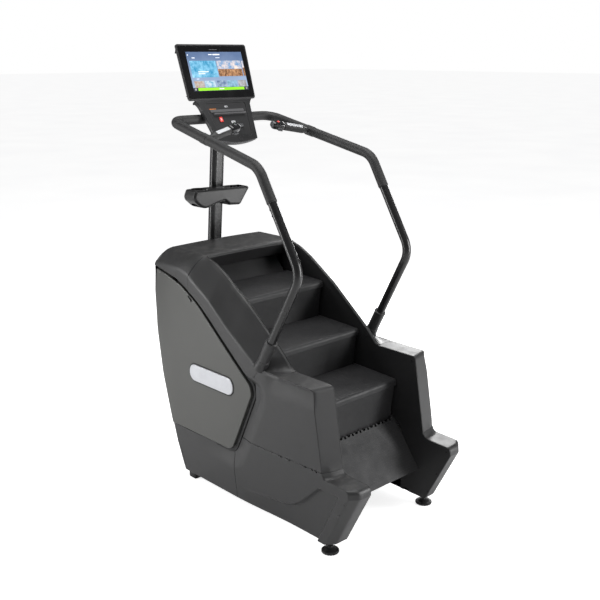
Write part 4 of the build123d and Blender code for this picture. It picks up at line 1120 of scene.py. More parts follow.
for label, numbers, make, body in (
    ("front_treads", (0, 1, 2), tread_parts, "front_run"),
    ("lower_turning_tread", (3,), tread_parts, "lower_turning_tread"),
    ("return_treads", (4, 5, 6), tread_parts, "return_run"),
    ("upper_turning_tread", (7,), tread_parts, "upper_turning_tread"),
    ("front_risers", (0, 1, 2), riser_parts, "front_run"),
    ("lower_turning_riser", (3,), riser_parts, "lower_turning_riser"),
    ("return_risers", (4, 5, 6), riser_parts, "return_run"),
    ("upper_turning_riser", (7,), riser_parts, "upper_turning_riser"),
):
    parts = [p for n in numbers for p in make(n)]
    piece(label, *join(*parts), "step_plastic", body, label, angle=32)

# ------------------------------------------------------------------ pieces kept from the CAD: base frame with its edges eased, the rest given materials


def softened(node, material, width=0.8):
    """A CAD piece as it is, with its sharp edges eased."""
    source = frame["nodes"][node]
    bm = bmesh.new()
    bm.from_mesh(source.data)
    bmesh.ops.remove_doubles(bm, verts=bm.verts, dist=2e-6)
    bmesh.ops.dissolve_limit(bm, angle_limit=radians(0.5), verts=bm.verts, edges=bm.edges)
    sharp = [e for e in bm.edges if len(e.link_faces) == 2 and e.calc_face_angle() > radians(40)]
    bmesh.ops.bevel(bm, geom=sharp, offset=width * MM, segments=2, profile=0.5, affect="EDGES", clamp_overlap=True)
    mesh = bpy.data.meshes.new(node)
    bm.to_mesh(mesh)
    bm.free()
    return adopt(node + "_eased", mesh, material, source["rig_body"], node, angle=40)


softened("base_frame", "frame_paint", 1.5)
for node, material in (
    ("front_step_axles", "machined_steel"), ("return_step_axles", "machined_steel"),
    ("upper_shaft", "machined_steel"), ("lower_shaft", "machined_steel"),
    ("shaft_bearings", "cast_aluminium"), ("drive_pulley", "cast_aluminium"), ("drive_belt", "belt_rubber"),
    ("alternator", "cast_aluminium"), ("alternator_rotor", "machined_steel"), ("controller_box", "console_plastic"),
    ("front_chains", "chain_steel"), ("return_chains", "chain_steel"),
    ("upper_chain_wraps", "chain_steel"), ("lower_chain_wraps", "chain_steel"),
):
    frame["nodes"][node].data.materials.clear()
    frame["nodes"][node].data.materials.append(MAT[material])

# ------------------------------------------------------------------ feet, inlet, rear details


def foot_mesh(x):
    rings = []
    sides = 216
    for r, h, wave in (
        (2, 0, 0), (36, 0, 0.6), (39.5, 1.2, 0.9), (41.5, 3.2, 1), (41.5, 10.8, 1), (39.8, 13, 0.9), (37, 14, 0.6), (30.5, 14.6, 0.1),
        (29, 15.6, 0), (15, 23, 0), (13.4, 24, 0), (13.4, 32, 0), (12.4, 33, 0), (6.2, 33, 0),
    ):
        ring = []
        for k in range(sides):
            a = 2 * pi * k / sides
            rr = r - wave * 2.6 * max(0.0, cos(18 * a)) ** 1.5
            if 23.5 < h < 33.5 and r > 8:
                rr = r * cos(pi / 6) / cos((a % (pi / 3)) - pi / 6) * 0.98
            ring.append((x + rr * cos(a), -544 + rr * sin(a), h))
        rings.append(ring)
    h = 33.0
    while h < 112:
        for r, step in ((6.0, 0.5), (6.0, 0.25), (5.3, 0.5), (5.3, 0.25)):
            rings.append([(x + r * cos(2 * pi * k / sides), -544 + r * sin(2 * pi * k / sides), h) for k in range(sides)])
            h += step * 1.3
    return loft(rings, caps=True)


for label, side in SIDES:
    piece(f"levelling_foot_{label}", *foot_mesh(337 * side), "foot_rubber", f"levelling_foot_{label}", f"levelling_foot_{label}", angle=40)

caps = join(brick((345.2, 461.5, 0.4), (353.2, 516.5, 51.5), 3), brick((344.8, 459.6, 46), (349, 518.4, 53), 1.5), brick((353, 470, 8), (354.2, 508, 43), 0.5))
caps = join(caps, mirrored(*caps, -1))
piece("rear_foot_caps", *caps, "foot_rubber", replaces="rear_foot_caps")


def rear_at(z):
    ys = sorted((p[1], p[0]) for p in rear_path)
    return float(np.interp(z, [p[0] for p in ys], [p[1] for p in ys]))


def on_rear(x, z, depth=0.0):
    """A frame on the rear cover: its x to the left, y up the cover, z outwards."""
    slope = Vector((0, rear_at(z + 10) - rear_at(z - 10), 20)).normalized()
    outwards = Vector((0, slope.z, -slope.y))
    spot = Vector((x, rear_at(z) + 3.2 * (1 - (x / OUT) ** 2), z)) + outwards * depth
    return frame_at(spot, (-1, 0, 0), outwards)


louvres, slot_shades = [], []
for z in range(384, 545, 22):
    place = on_rear(0, z)
    louvres.append(brick((-158, 2, -1.5), (158, 9, 4.2), 1.8, place))
    # A black strip under each louvre: painted shade of the vent opening behind it.
    slot_shades.append(plate(round_corners([(-152, -8), (152, -8), (152, 2), (-152, 2)], 4.8, 5), -1, 0.7, 0.3, place, 1))
frame_bars = [plate(rounded_rect(344, 204, 14, 6, (0, 78)), -2.0, 0.35, 0.3, on_rear(0, 384), 2)]
piece("rear_louvres", *join(*louvres, *frame_bars), "housing_plastic", slot="housing_plastic")
piece("rear_louvre_slot_shades", *join(*slot_shades), "black_plastic", slot="wall_sheet")
rear_screws = []
for x, z in ((-352, 1080), (352, 1080), (-352, 760), (352, 760), (-340, 430), (340, 430), (-330, 150), (330, 150)):
    rear_screws.append(lathe([(6.5, -1), (7, 0.6), (6.4, 1.6), (3.6, 2), (3.4, 0.8), (0.3, 0.8)], 24, on_rear(x, z)))
piece("rear_cover_screws", *join(*rear_screws), "screw_steel", slot="screw_steel", angle=30)

inlet_place = on_rear(-230, 200)
inlet = [frame_part for frame_part in (
    plate(rounded_rect(66, 62, 6), -6, 2.2, 1.4, inlet_place),
    plate(rounded_rect(30, 40, 5, 5, (10, 0)), 2.0, 4.2, 1.0, inlet_place),
)]
piece("power_inlet_bezel", *join(*inlet), "console_plastic", replaces="power_inlet")
sockets_dark = [plate(rounded_rect(23, 33, 3.5, 5, (10, 0)), 3.6, 4.5, 0.2, inlet_place)]
piece("power_inlet_well", *join(*sockets_dark), "black_plastic", slot="console_plastic")
pins = [brick((9 + dx, dy - 3, 4), (11 + dx, dy + 3, 6.2), 0.5, inlet_place) for dx, dy in ((-6, 8), (-6, -8), (6, 0))]
piece("power_inlet_pins", *join(*pins), "machined_steel", slot="machined_steel")
rocker = join(
    turned([(7 * cos(2 * pi * k / 24), 7 * sin(2 * pi * k / 24)) for k in range(24)], Vector((0, 553, 200)), 0, -222.4, -207.6),
    brick((-222.4, 556, 192.5), (-207.6, 563.5, 207.5), 1.6),
)
piece("power_switch", *rocker, "console_plastic", "power_switch", "power_switch")

# ------------------------------------------------------------------ mast and tray

LEAN = radians(5)
mast_place = frame_at((0, 703.6, 1150), (1, 0, 0), (0, -sin(LEAN), cos(LEAN)))


def carve(mesh_parts, cutters, bevel=0.0):
    """Cut closed shapes out of one, as real openings. Returns points and faces in millimetres."""
    made = []
    for verts, faces in [mesh_parts] + cutters:
        mesh = bpy.data.meshes.new("carve")
        mesh.from_pydata([tuple(v) for v in verts], [], [tuple(f) for f in faces])
        bm = bmesh.new()
        bm.from_mesh(mesh)
        bmesh.ops.remove_doubles(bm, verts=bm.verts, dist=1e-4)
        bmesh.ops.recalc_face_normals(bm, faces=bm.faces)
        bm.to_mesh(mesh)
        bm.free()
        obj = bpy.data.objects.new("carve", mesh)
        bpy.context.scene.collection.objects.link(obj)
        made.append(obj)
    for cutter in made[1:]:
        mod = made[0].modifiers.new("cut", "BOOLEAN")
        mod.operation = "DIFFERENCE"
        mod.solver = "EXACT"
        mod.object = cutter
    bpy.context.view_layer.update()
    got = made[0].evaluated_get(bpy.context.evaluated_depsgraph_get()).to_mesh()
    verts = [tuple(v.co) for v in got.vertices]
    faces = [tuple(p.vertices) for p in got.polygons]
    for obj in made:
        bpy.data.objects.remove(obj)
    return verts, faces


profile = rounded_rect(79, 50, 23.5, 12)
column = tube([mast_place @ Vector((0, 0, h)) for h in (-58, 60, 200, 420, 640, 768)], 0, profile=[(y, -x) for x, y in profile], cap=3, up=(0, 1, 0))
saddle = brick((-31, 596, 1864), (31, 640, 1912), 6)
SCREEN_TILT, PANEL_TILT = radians(18.5), radians(30.2)
screen_place = frame_at((0, 592, 1980), (1, 0, 0), (0, -cos(SCREEN_TILT), sin(SCREEN_TILT)))
panel_place = frame_at((0, 549, 1909), (1, 0, 0), (0, -cos(PANEL_TILT), sin(PANEL_TILT)))
bracket = plate(rounded_rect(120, 130, 10, 6, (0, 60)), -49, -38.2, 2, screen_place)
arm_up = brick((-28, 642, 1905), (28, 664, 1992), 5)
rim = [(a * 1.0, b) for a, b in rounded_rect(88, 59, 28, 12)]
piece("mast", *join(column, saddle, bracket, arm_up), "tube_paint", replaces="mast", angle=40)
gasket = plate(rim, 40, 60, 3, mast_place)
piece("mast_gasket", *gasket, "black_plastic", slot="wall_sheet")

tray_corners = [(-209, 1530), (-230, 1486), (-158, 1424), (-75, 1450), (-20, 1459), (11, 1432), (84, 1427), (154, 1521), (60, 1525), (-32, 1527), (-100, 1529)]
tray_ring = round_corners(tray_corners, [12, 34, 70, 60, 14, 10, 22, 9, 0, 0, 0], 9)
tray_ring = [(-x, z) for x, z in tray_ring]
tray_place = Matrix(((-1, 0, 0, 0), (0, 0, -1, 0), (0, 1, 0, 0), (0, 0, 0, 1)))
tray_body = plate(tray_ring, -660, -566, 15, tray_place, 6, 8)
cup = lathe([(41, 0), (41, 150)], 56, Matrix.Translation((-158, 613, 1441)))
pocket = plate(rounded_rect(72, 74, 10, 5, (52, 613)), 1442, 1600, 1)
side_pocket = plate([(-134, 1514), (-134, 1600), (-87, 1600), (-87, 1442)], -650, -576, 3, tray_place)
room = tube([mast_place @ Vector((0, 0, h)) for h in (100, 600)], 0, profile=[(y * 1.02, -x * 1.02) for x, y in profile], cap=0.2, up=(0, 1, 0))
tray_mesh = carve(tray_body, [cup, pocket, side_pocket])
collar = carve(plate(rounded_rect(98, 76, 26, 10, (0, 0)), 316, 366, 4, mast_place, 4), [room])
tray_mesh = join(carve(tray_mesh, [room]), collar)
piece("accessory_tray", *tray_mesh, "tray_plastic", replaces="accessory_tray", slot="console_plastic", angle=32)
rim_profile = [(45.4, -1.2), (45.6, 1.0), (44.4, 2.4), (42.5, 2.4), (41.0, 1.2), (41.0, -1.2)]
cup_rim = lathe(rim_profile + rim_profile[:1], 56, Matrix.Translation((-158, 613, 1528.5)), caps=False)
piece("tray_cup_rim", *cup_rim, "console_plastic", slot="console_plastic", angle=40)

# ------------------------------------------------------------------ handrail

socket_foot = Vector((376, -110, 785))
low_bend = Vector((365, -372, 1280))
high_bend = Vector((367.5, -106, 1726))
rail_corner = Vector((326, 598, 1886))
mid = Vector((0, 598, 1886))


def flip(v):
    return Vector((-v[0], v[1], v[2]))


whole = [socket_foot, low_bend, high_bend, rail_corner, flip(rail_corner), flip(high_bend), flip(low_bend), flip(socket_foot)]
rail_path = bend_path(whole, [0, 110, 110, 70, 70, 110, 110, 0], 18, 40)
piece("handrail_tubes", *tube(rail_path, 21, 44), "tube_paint", replaces="handrail_tubes", angle=50)

grip_start = low_bend + (high_bend - low_bend) * 0.664
grip_path = bend_path([grip_start, high_bend, rail_corner, Vector((36, 598, 1886))], [0, 110, 70, 0], 20, 30)
grip = tube(grip_path, 24.2, 48, 3.0)
way = (high_bend - grip_start).normalized()
band = lathe([(24.3, 0), (24.7, 1.2), (24.7, 5), (24.2, 6.4)], 48, frame_at(grip_start + way * 6, (1, 0, 0), way))
grips = join(grip, band)
grips = join(grips, mirrored(*grips, -1))
piece("handrail_grips", *grips, "grip_rubber", replaces="handrail_grips", angle=50)

socket_way = (low_bend - socket_foot).normalized()
socket_frame = frame_at(socket_foot, (1, 0, 0), socket_way)
shoe = lathe([(21.3, 170), (22.4, 169), (27.2, 169.6), (28.8, 168.6), (29.5, 166), (29.3, 161), (28.2, 159.4), (28.0, 60), (28.2, 58.6), (29.6, 57.4), (30.0, 55), (30.2, 6), (28.5, 1), (21.3, 1)], 56, socket_frame)
shoe = (shoe[0], shoe[1])
shoes = join(shoe, mirrored(*shoe, -1))
piece("handrail_sockets", *shoes, "housing_plastic", replaces="handrail_sockets", angle=35)
seats = lathe([(35, 6), (35.4, 14), (33.8, 24), (31.0, 31), (30.3, 40)], 56, socket_frame)
seats = join(seats, mirrored(*seats, -1))
piece("socket_seats", *seats, "housing_plastic", slot="housing_plastic", angle=35)
rail_screws = []
for down_by in (26, 56):
    spot = grip_start - way * down_by
    face = Vector((0.82, 0.5, 0))
    face = (face - way * face.dot(way)).normalized()
    head = lathe([(3.8, 19.6), (4.8, 21.2), (4.4, 22.4), (2.3, 23.0), (2.1, 22.0), (0.3, 22.0)], 20, frame_at(spot, way, face))
    rail_screws.append(head)
rail_screws = join(*rail_screws)
rail_screws = join(rail_screws, mirrored(*rail_screws, -1))
piece("handrail_screws", *rail_screws, "screw_steel", slot="screw_steel", angle=30)

# ------------------------------------------------------------------ inner handles and pods

bar_outer = Vector((289, 302, 1829))
bar_inner = Vector((198.1, 322.7, 1845.9))
bar_way = (bar_inner - bar_outer).normalized()
bar_up = (Vector((0, 0, 1)) - bar_way * bar_way.z).normalized()
bar_user = -Vector((bar_way.y, -bar_way.x, 0)).normalized()
if bar_user.y > 0:
    bar_user = -bar_user
share = (bar_outer.y - high_bend.y) / (rail_corner.y - high_bend.y)
on_rail = high_bend.lerp(rail_corner, share)
rail_dir = (rail_corner - high_bend).normalized()
bar_roll = radians(35)
bar_up, bar_user = bar_up * cos(bar_roll) + bar_user * sin(bar_roll), bar_user * cos(bar_roll) - bar_up * sin(bar_roll)
handle = frame_at(bar_outer, bar_user, bar_way)
if (handle.to_3x3() @ Vector((0, 1, 0))).z < 0:
    up_sign = -1
else:
    up_sign = 1
POD = 118.0


def bar_ring(d, w, h, r, count=40):
    shape = resample(rounded_rect(w, h, r, 9), 0.8)
    angles = [2 * pi * k / count for k in range(count)]
    ring = []
    polar = sorted((atan2(y, x) % (2 * pi), hypot(x, y)) for x, y in shape)
    ang = np.array([polar[-1][0] - 2 * pi] + [p[0] for p in polar] + [polar[0][0] + 2 * pi])
    rad = np.array([polar[-1][1]] + [p[1] for p in polar] + [polar[0][1]])
    for a in angles:
        rr = float(np.interp(a, ang, rad))
        ring.append(tuple(handle @ Vector((rr * cos(a), rr * sin(a), d))))
    return ring


start_d = (on_rail - bar_outer).dot(bar_way) + 12
neck = [bar_ring(start_d, 27, 27, 13.3), bar_ring(start_d + 18, 27, 27, 13.3), bar_ring(-14, 28, 28, 13.5), bar_ring(-4, 31, 32, 12), bar_ring(0, 33, 35, 11), bar_ring(2, 34, 36, 10.5)]
offset_back = (on_rail - bar_outer) - bar_way * (on_rail - bar_outer).dot(bar_way)
moved = []
for k, ring in enumerate(neck[:2]):
    pull = offset_back * (1 - 0.45 * k)
    moved.append([tuple(Vector(p) + pull) for p in ring])
grip_rings = moved + neck[2:] + [bar_ring(d, 34, 36, 10.5) for d in (20, 45, 70, 95)] + [bar_ring(112, 34, 36, 10.5), bar_ring(115, 33, 35, 10.5), bar_ring(POD - 1.2, 30, 32, 10)]
clamp = tube([on_rail - rail_dir * 24, on_rail - rail_dir * 8, on_rail + rail_dir * 8, on_rail + rail_dir * 24], 26.2, 44, 1.8)
handles = join(loft(grip_rings, caps=True), clamp)
handles = join(handles, mirrored(*handles, -1))
piece("inner_handles", *handles, "grip_rubber", replaces="inner_handles", angle=40)

top_at = 18.0 * up_sign
plates = []
strip = plate(rounded_rect(20, 94, 4, 5, (0, 57)), 17.0, 18.9, 0.8)
place = Matrix(((1, 0, 0, 0), (0, 0, up_sign, 0), (0, 1, 0, 0), (0, 0, 0, 1)))
plates = ([tuple(handle @ (place @ Vector(v))) for v in strip[0]], strip[1])
plates = join(plates, mirrored(*plates, -1))
piece("pulse_plates", *plates, "pulse_steel", replaces="pulse_plates", angle=40)

pod_rings = [bar_ring(POD, 30, 28, 10), bar_ring(POD + 1.5, 38, 34, 12), bar_ring(POD + 4, 42, 38, 13), bar_ring(POD + 12, 43.5, 39.5, 14), bar_ring(POD + 30, 43.5, 39.5, 14), bar_ring(POD + 52, 43.5, 39.5, 14), bar_ring(POD + 60, 41.5, 37.5, 13.5), bar_ring(POD + 66, 36, 32, 13), bar_ring(POD + 69.4, 27, 24, 11), bar_ring(POD + 70, 22, 19, 9)]
pod = loft(pod_rings, caps=True)
spot = bar_outer + bar_way * (POD + 38) - bar_user * 4
well = frame_at(spot + bar_up * 12, bar_way, bar_up)
paddle_at = bar_outer + bar_way * (POD + 12) + bar_user * 14 - bar_up * 8
paddle_place = frame_at(paddle_at, bar_user, bar_way)
pad_cut = lathe([(9.6, -1), (9.6, 27)], 40, paddle_place)
slot_cut = brick((4, -11, -1), (34, 11, 27), 0, paddle_place)
button_cut = plate(rounded_rect(19, 11, 5.2, 6), -1, 30, 0, well, 1)
pod = carve(pod, [lathe([(7.6, 0), (7.6, 30)], 40, well), pad_cut, slot_cut])
pods = join(pod, mirrored(*pod, -1))
piece("control_pods", *pods, "pod_gloss", replaces="control_pods", slot="console_plastic", angle=35)
cap_rings = [bar_ring(POD + 65.5, 37, 33, 13), bar_ring(POD + 70.0, 28, 25, 11), bar_ring(POD + 71.2, 21, 18, 9), bar_ring(POD + 71.4, 10, 9, 4)]
face_cap = loft(cap_rings, caps=True)
face_cap = join(face_cap, mirrored(*face_cap, -1))
piece("pod_end_caps", *face_cap, "grey_button", slot="grey_button", angle=35)

button = lathe([(7.0, 2.4), (7.0, 7.4), (6.4, 8.6), (4.6, 9.3), (0.4, 9.6)], 36, well)
ridge_mark = brick((-1.0, -4.4, 9.2), (1.0, 4.4, 10.0), 0.35, well)
for label, side in SIDES:
    piece(f"pod_button_{label}", *mirrored(*button, side), "red_button" if side > 0 else "grey_button", f"pod_button_{label}", f"pod_button_{label}", angle=40)

fin = [plate(round_corners([(0, -3), (19, -2.6), (20.5, 0), (19, 2.6), (0, 3)], [0, 1.5, 1.5, 1.5, 0], 4), 0.2, 25.8, 1.2, paddle_place)]
ribs = [brick((9 + 3 * k, -3.4, 3), (10 + 3 * k, 3.4, 23), 0.35, paddle_place) for k in range(3)]
paddle = join(lathe([(8.0, 0.2), (9.0, 1.2), (9.0, 24.8), (8.0, 25.8)], 36, paddle_place), *fin, *ribs)
for label, side in SIDES:
    piece(f"pod_paddle_{label}", *mirrored(*paddle, side), "grey_button", f"pod_paddle_{label}", f"pod_paddle_{label}", angle=35)

# ------------------------------------------------------------------ console


def rim_plate(outer, inner, low, high, bevel, place, steps=4):
    """A flat ring between two outlines, rounded on its outer and its inner edge."""
    if area(outer) < 0:
        outer = outer[::-1]
    if area(inner) < 0:
        inner = inner[::-1]
    rows = [[(x, y, low) for x, y in outer]]
    for k in range(steps + 1):
        a = pi / 2 * k / steps
        rows.append([(x, y, high - bevel * (1 - sin(a))) for x, y in offset_ring(outer, [bevel * (1 - cos(a))] * len(outer))])
    rows_in = [[(x, y, low) for x, y in inner]]
    lip_r = min(bevel, 1.2)
    for k in range(steps + 1):
        a = pi / 2 * k / steps
        rows_in.append([(x, y, high - lip_r * (1 - sin(a))) for x, y in offset_ring(inner, [-lip_r * (1 - cos(a))] * len(inner))])
    a_mesh = loft(rows)
    b_mesh = loft(rows_in)
    for level in (0, -1):
        flat, tris = fill([p[:2] for p in rows[level]], None, [[p[:2] for p in rows_in[level]]])
        a_mesh = join(a_mesh, ([(x, y, rows[level][0][2]) for x, y in flat], tris))
    verts, faces = join(a_mesh, b_mesh)
    return [tuple(place @ Vector(v)) for v in verts], faces


screen_ring = round_corners([(-218, 0), (218, 0), (226, 289), (-226, 289)], [14, 14, 12, 12], 8)
glass_ring = round_corners([(-211.5, 8.5), (211.5, 8.5), (216.5, 280.5), (-216.5, 280.5)], 8, 6)


def taper_rows(ring, low, high, reach):
    """A shell behind the face: a short straight edge, then drawn in towards the back."""
    if area(ring) < 0:
        ring = ring[::-1]
    rows = []
    for depth, inwards in ((high, 0.8), (high - 0.8, 0), (high - 7, 0), (high - 9, 0.7), (low + 6, reach - 5), (low + 2, reach - 1.5), (low, reach + 2)):
        rows.append([(x, y, depth) for x, y in offset_ring(ring, [inwards] * len(ring))])
    return rows


rows = taper_rows(screen_ring, -38, -1.2, 34)
shell = loft(rows)
for row, flip in ((rows[0], False), (rows[-1], True)):
    flat, tris = fill([q[:2] for q in row], None)
    shell = join(shell, ([(x, y, row[0][2]) for x, y in flat], [tuple(reversed(t)) for t in tris] if flip else tris))
shell = ([tuple(screen_place @ Vector(v)) for v in shell[0]], shell[1])
# Black strips on the back of the display: painted shade of the vent openings.
vent_shades = [plate(rounded_rect(3.2, 22, 1.5, 4, (x, 214)), -38.6, -37.4, 0.3, screen_place, 1) for x in range(-96, 97, 8)]
shell_rim = rim_plate(screen_ring, [tuple(q) for q in offset_ring(glass_ring, [-0.4] * len(glass_ring))], -3.0, 0, 2.2, screen_place)
display_shell = join(shell, shell_rim)
for x in (-144, 144):
    for y in (70, 200):
        display_shell = join(display_shell, lathe([(5, -40.5), (5.2, -39), (5.2, -37)], 20, screen_place @ Matrix.Translation((x, y, 0))))
piece("display_housing", *display_shell, "console_plastic", replaces="display_housing", angle=35)
piece("display_vent_shades", *join(*vent_shades), "black_plastic", slot="console_plastic")
piece("display_screen", *plate(glass_ring, -2.9, -0.35, 0.5, screen_place), "screen_black", replaces="display_screen", slot="screen_glass", angle=35)

arc = [(131 * sin(t) / sin(0.3), -161 + 131 / sin(0.3) * (1 - cos(t)) ) for t in np.linspace(-0.3, 0.3, 21)]
panel_ring = [(-188, 81), (-166, 58), (-132.5, -134)] + arc + [(132.5, -134), (166, 58), (188, 81)]
panel_ring = round_corners(panel_ring, [2, 60, 10] + [0] * len(arc) + [10, 60, 2], 8)
panel_ring = resample(panel_ring, 6)
inset_ring = resample(round_corners([(-133, 64), (-103, -124), (103, -124), (133, 64)], [12, 12, 12, 12], 6), 6)
panel_body = plate(panel_ring, -28, -2.6, 1.2, panel_place, 3, 9)
neck_block = brick((-96, 20, -40), (96, 66, -8), 8, panel_place)
panel_rim = rim_plate(panel_ring, inset_ring, -2.8, 0.6, 3.0, panel_place)
stop_at, toggle_at = (-62, -28), (52, -66)
stop_hole = plate(rounded_rect(21, 28, 3, 5, stop_at), -12, 8, 0, panel_place, 1)
toggle_hole = brick((39.4, -77.4, -16), (64.6, -54.6, 8), 0, panel_place)
panel_mesh = join(carve(panel_body, [stop_hole, toggle_hole]), panel_rim, neck_block)
piece("console_panel", *panel_mesh, "console_plastic", replaces="console_panel", angle=35)
field = [(x, y) for x, y in offset_ring(inset_ring if area(inset_ring) > 0 else inset_ring[::-1], [1.6] * len(inset_ring))]
overlay = carve(plate(field, -2.7, -2.15, 0.2, panel_place, 1), [stop_hole, toggle_hole])
piece("console_overlay", *overlay, "recess_plastic", slot="console_plastic", angle=35)
bezels = join(
    rim_plate(rounded_rect(26, 33, 5, 6, stop_at), rounded_rect(20.8, 27.8, 3, 6, stop_at), -2.4, -0.6, 1.2, panel_place),
    rim_plate(rounded_rect(31, 29, 4, 6, toggle_at), rounded_rect(25, 22.8, 2, 6, toggle_at), -2.4, -0.4, 1.2, panel_place),
)
lip_arc = [(x, s) for x, s in arc]
lip_rows = []
for depth in (-27, -24, -3, -1.4):
    lip_rows.append([tuple(panel_place @ Vector((x * 1.01, s - (0.4 if depth in (-27, -1.4) else 1.6), depth))) for x, s in lip_arc])
lip_back = [[tuple(panel_place @ Vector((x, s + 1.5, depth))) for x, s in lip_arc] for depth in (-1.4, -27)]
lip_rings = [list(column) for column in zip(*(lip_rows + lip_back))]
piece("console_lip", *loft(lip_rings, caps=True), "ledge_grey", slot="console_plastic", angle=35)
piece("console_bezels", *bezels, "black_plastic", slot="console_plastic", angle=35)

ledge_parts = [
    plate(round_corners([(-112, 12), (105, 12), (105, 27), (-112, 27)], 2.5, 4), -3, 1.6, 0.8, panel_place),
    brick((-102, -3, -3), (106, 3.6, 13), 1.6, panel_place),
]
piece("phone_ledge", *join(*ledge_parts), "ledge_grey", slot="console_plastic", angle=35)
marks = [plate(rounded_rect(5.5, 5.0, 2.2, 5, (x, -45)), -2.4, -1.9, 0.1, panel_place, 1) for x in (2, 9, 16, 23)]
marks += [plate(rounded_rect(w, 2.2, 1, 4, (13, y)), -2.4, -1.9, 0.1, panel_place, 1) for w, y in ((26, -39.5),)]
marks += [lathe([(2.6, -2.4), (2.6, -1.9), (2.3, -1.8), (0.2, -1.8)], 20, panel_place @ Matrix.Translation((x, y, 0))) for x, y in ((4, -50.5 + 2), (17, -66))]
marks += [rim_plate(rounded_rect(19, 8.5, 4.2, 6, (0, 43)), rounded_rect(15.5, 5.2, 2.6, 6, (0, 43)), -2.4, -1.9, 0.1, panel_place, 1)]
marks += [lathe([(1.7, -2.4), (1.7, -1.9), (0.2, -1.9)], 16, panel_place @ Matrix.Translation((-4.6, 43, 0)))]
piece("console_marks", *join(*marks), "mark_white", slot="badge_silver", angle=35)
orange = [plate(rounded_rect(w, 4.6, 1.4, 4, (x, 31.8)), -2.4, -1.9, 0.1, panel_place, 1) for w, x in ((11, -106), (9, -94.5), (8, -84.5), (9, -74.5))]
piece("console_accent", *join(*orange), "mark_orange", slot="console_plastic", angle=35)

stop = plate(rounded_rect(20, 27, 2.6, 5, stop_at), -7, 2.0, 1.4, panel_place, 4)
piece("stop_button", *stop, "red_button", "stop_button", "stop_button", angle=35)
cross = [brick((-1.1, -8, 1.9), (1.1, 8, 2.25), 0.1, panel_place @ Matrix.Translation((*stop_at, 0)) @ Matrix.Rotation(radians(a), 4, "Z")) for a in (38, -38)]
piece("stop_button_mark", *join(*cross), "mark_white", "stop_button", slot="badge_silver", angle=35)

toggle_place = panel_place @ Matrix.Translation((toggle_at[0], toggle_at[1], -5))
rocker_ring = [(11 * cos(t), 11 * sin(t)) for t in np.linspace(radians(-20), radians(200), 34)] + [(-6, -9.2), (6, -9.2)]
roll = plate([(a, b) for a, b in rocker_ring], -12, 12, 0.8, toggle_place @ Matrix(((0, 0, 1, 0), (1, 0, 0, 0), (0, 1, 0, 0), (0, 0, 0, 1))), 2)
thumb_ribs = [brick((-9, -0.6 + k * 3.2, 10.4), (9, 0.6 + k * 3.2, 11.3), 0.3, toggle_place) for k in (-1, 0, 1)]
piece("channel_toggle", *join(roll, *thumb_ribs), "grey_button", "channel_toggle", "channel_toggle", angle=35)

# The picture on the screen: thin lit tiles behind the glass's surface.


def lit(name, maker, strength=1.0):
    n = Nodes(name)
    colour = maker(n)
    for slot in ("Base Color", "Emission Color"):
        if isinstance(colour, tuple):
            n.bsdf.inputs[slot].default_value = (*colour, 1)
        else:
            n.link(colour, n.bsdf.inputs[slot])
    n.bsdf.inputs["Emission Strength"].default_value = strength
    n.bsdf.inputs["Roughness"].default_value = 0.18
    n.link(n.span(n.noise(40, 3), 0.12, 0.24), n.bsdf.inputs["Roughness"])
    MAT[name] = n.mat
    return name


def height(n, low, high):
    split = n.add("ShaderNodeSeparateXYZ")
    n.link(n.coord, split.inputs[0])
    return n.span(split.outputs[2], 0, 1, low * MM, high * MM)


def z_of(s):
    return 1980 + s * cos(SCREEN_TILT)


lit("ui_sky", lambda n: n.mix(n.math("ADD", height(n, z_of(60), z_of(240)), n.span(n.noise(9, 3), -0.12, 0.12)), (0.23, 0.30, 0.42), (0.075, 0.115, 0.205)), 0.55)
lit("ui_cyan", lambda n: n.mix(n.span(n.noise(16, 6, 0.7), 0, 1, 0.35, 0.68), (0.022, 0.17, 0.30), (0.30, 0.55, 0.68)), 0.7)
lit("ui_dusk", lambda n: n.mix(n.span(n.noise(38, 6, 0.75), 0, 1, 0.4, 0.66), (0.09, 0.20, 0.36), (0.62, 0.50, 0.42)), 0.6)
lit("ui_shore", lambda n: n.mix(n.span(n.noise(70, 6, 0.8), 0, 1, 0.38, 0.66), (0.045, 0.018, 0.010), (0.48, 0.26, 0.13)), 0.6)
lit("ui_green", lambda n: n.mix(n.span(n.noise(12, 3), 0, 1), (0.20, 0.56, 0.02), (0.25, 0.64, 0.03)), 0.62)
lit("ui_band", lambda n: n.mix(n.span(n.noise(20, 3), 0, 1), (0.014, 0.018, 0.026), (0.022, 0.026, 0.036)), 0.6)
lit("ui_white", lambda n: n.mix(n.span(n.noise(30, 3), 0, 1), (0.62, 0.66, 0.72), (0.75, 0.78, 0.82)), 0.6)
for k, (a, b) in enumerate((((0.62, 0.62, 0.6), (0.5, 0.3, 0.2)), ((0.75, 0.86, 0.93), (0.1, 0.4, 0.62)), ((0.12, 0.2, 0.36), (0.5, 0.62, 0.75)), ((0.36, 0.62, 0.8), (0.16, 0.3, 0.4)), ((0.3, 0.28, 0.27), (0.6, 0.62, 0.66)))):
    lit(f"ui_thumb{k}", lambda n, a=a, b=b: n.mix(n.span(n.noise(55, 5, 0.7), 0, 1, 0.4, 0.65), tuple(0.6 * c for c in a), tuple(0.6 * c for c in b)), 0.5)


def tile(name, x0, x1, s0, s1, material, level=0.0, corner=1.5):
    x0, x1, s0, s1 = x0 + 6, x1 + 6, s0 + 4, s1 + 4
    ring = round_corners([(x0, s0), (x1, s0), (x1, s1), (x0, s1)], corner, 3)
    return piece(name, *plate(ring, -0.9, -0.30 + level, 0.04, screen_place, 1), material, slot="screen_glass", angle=35)


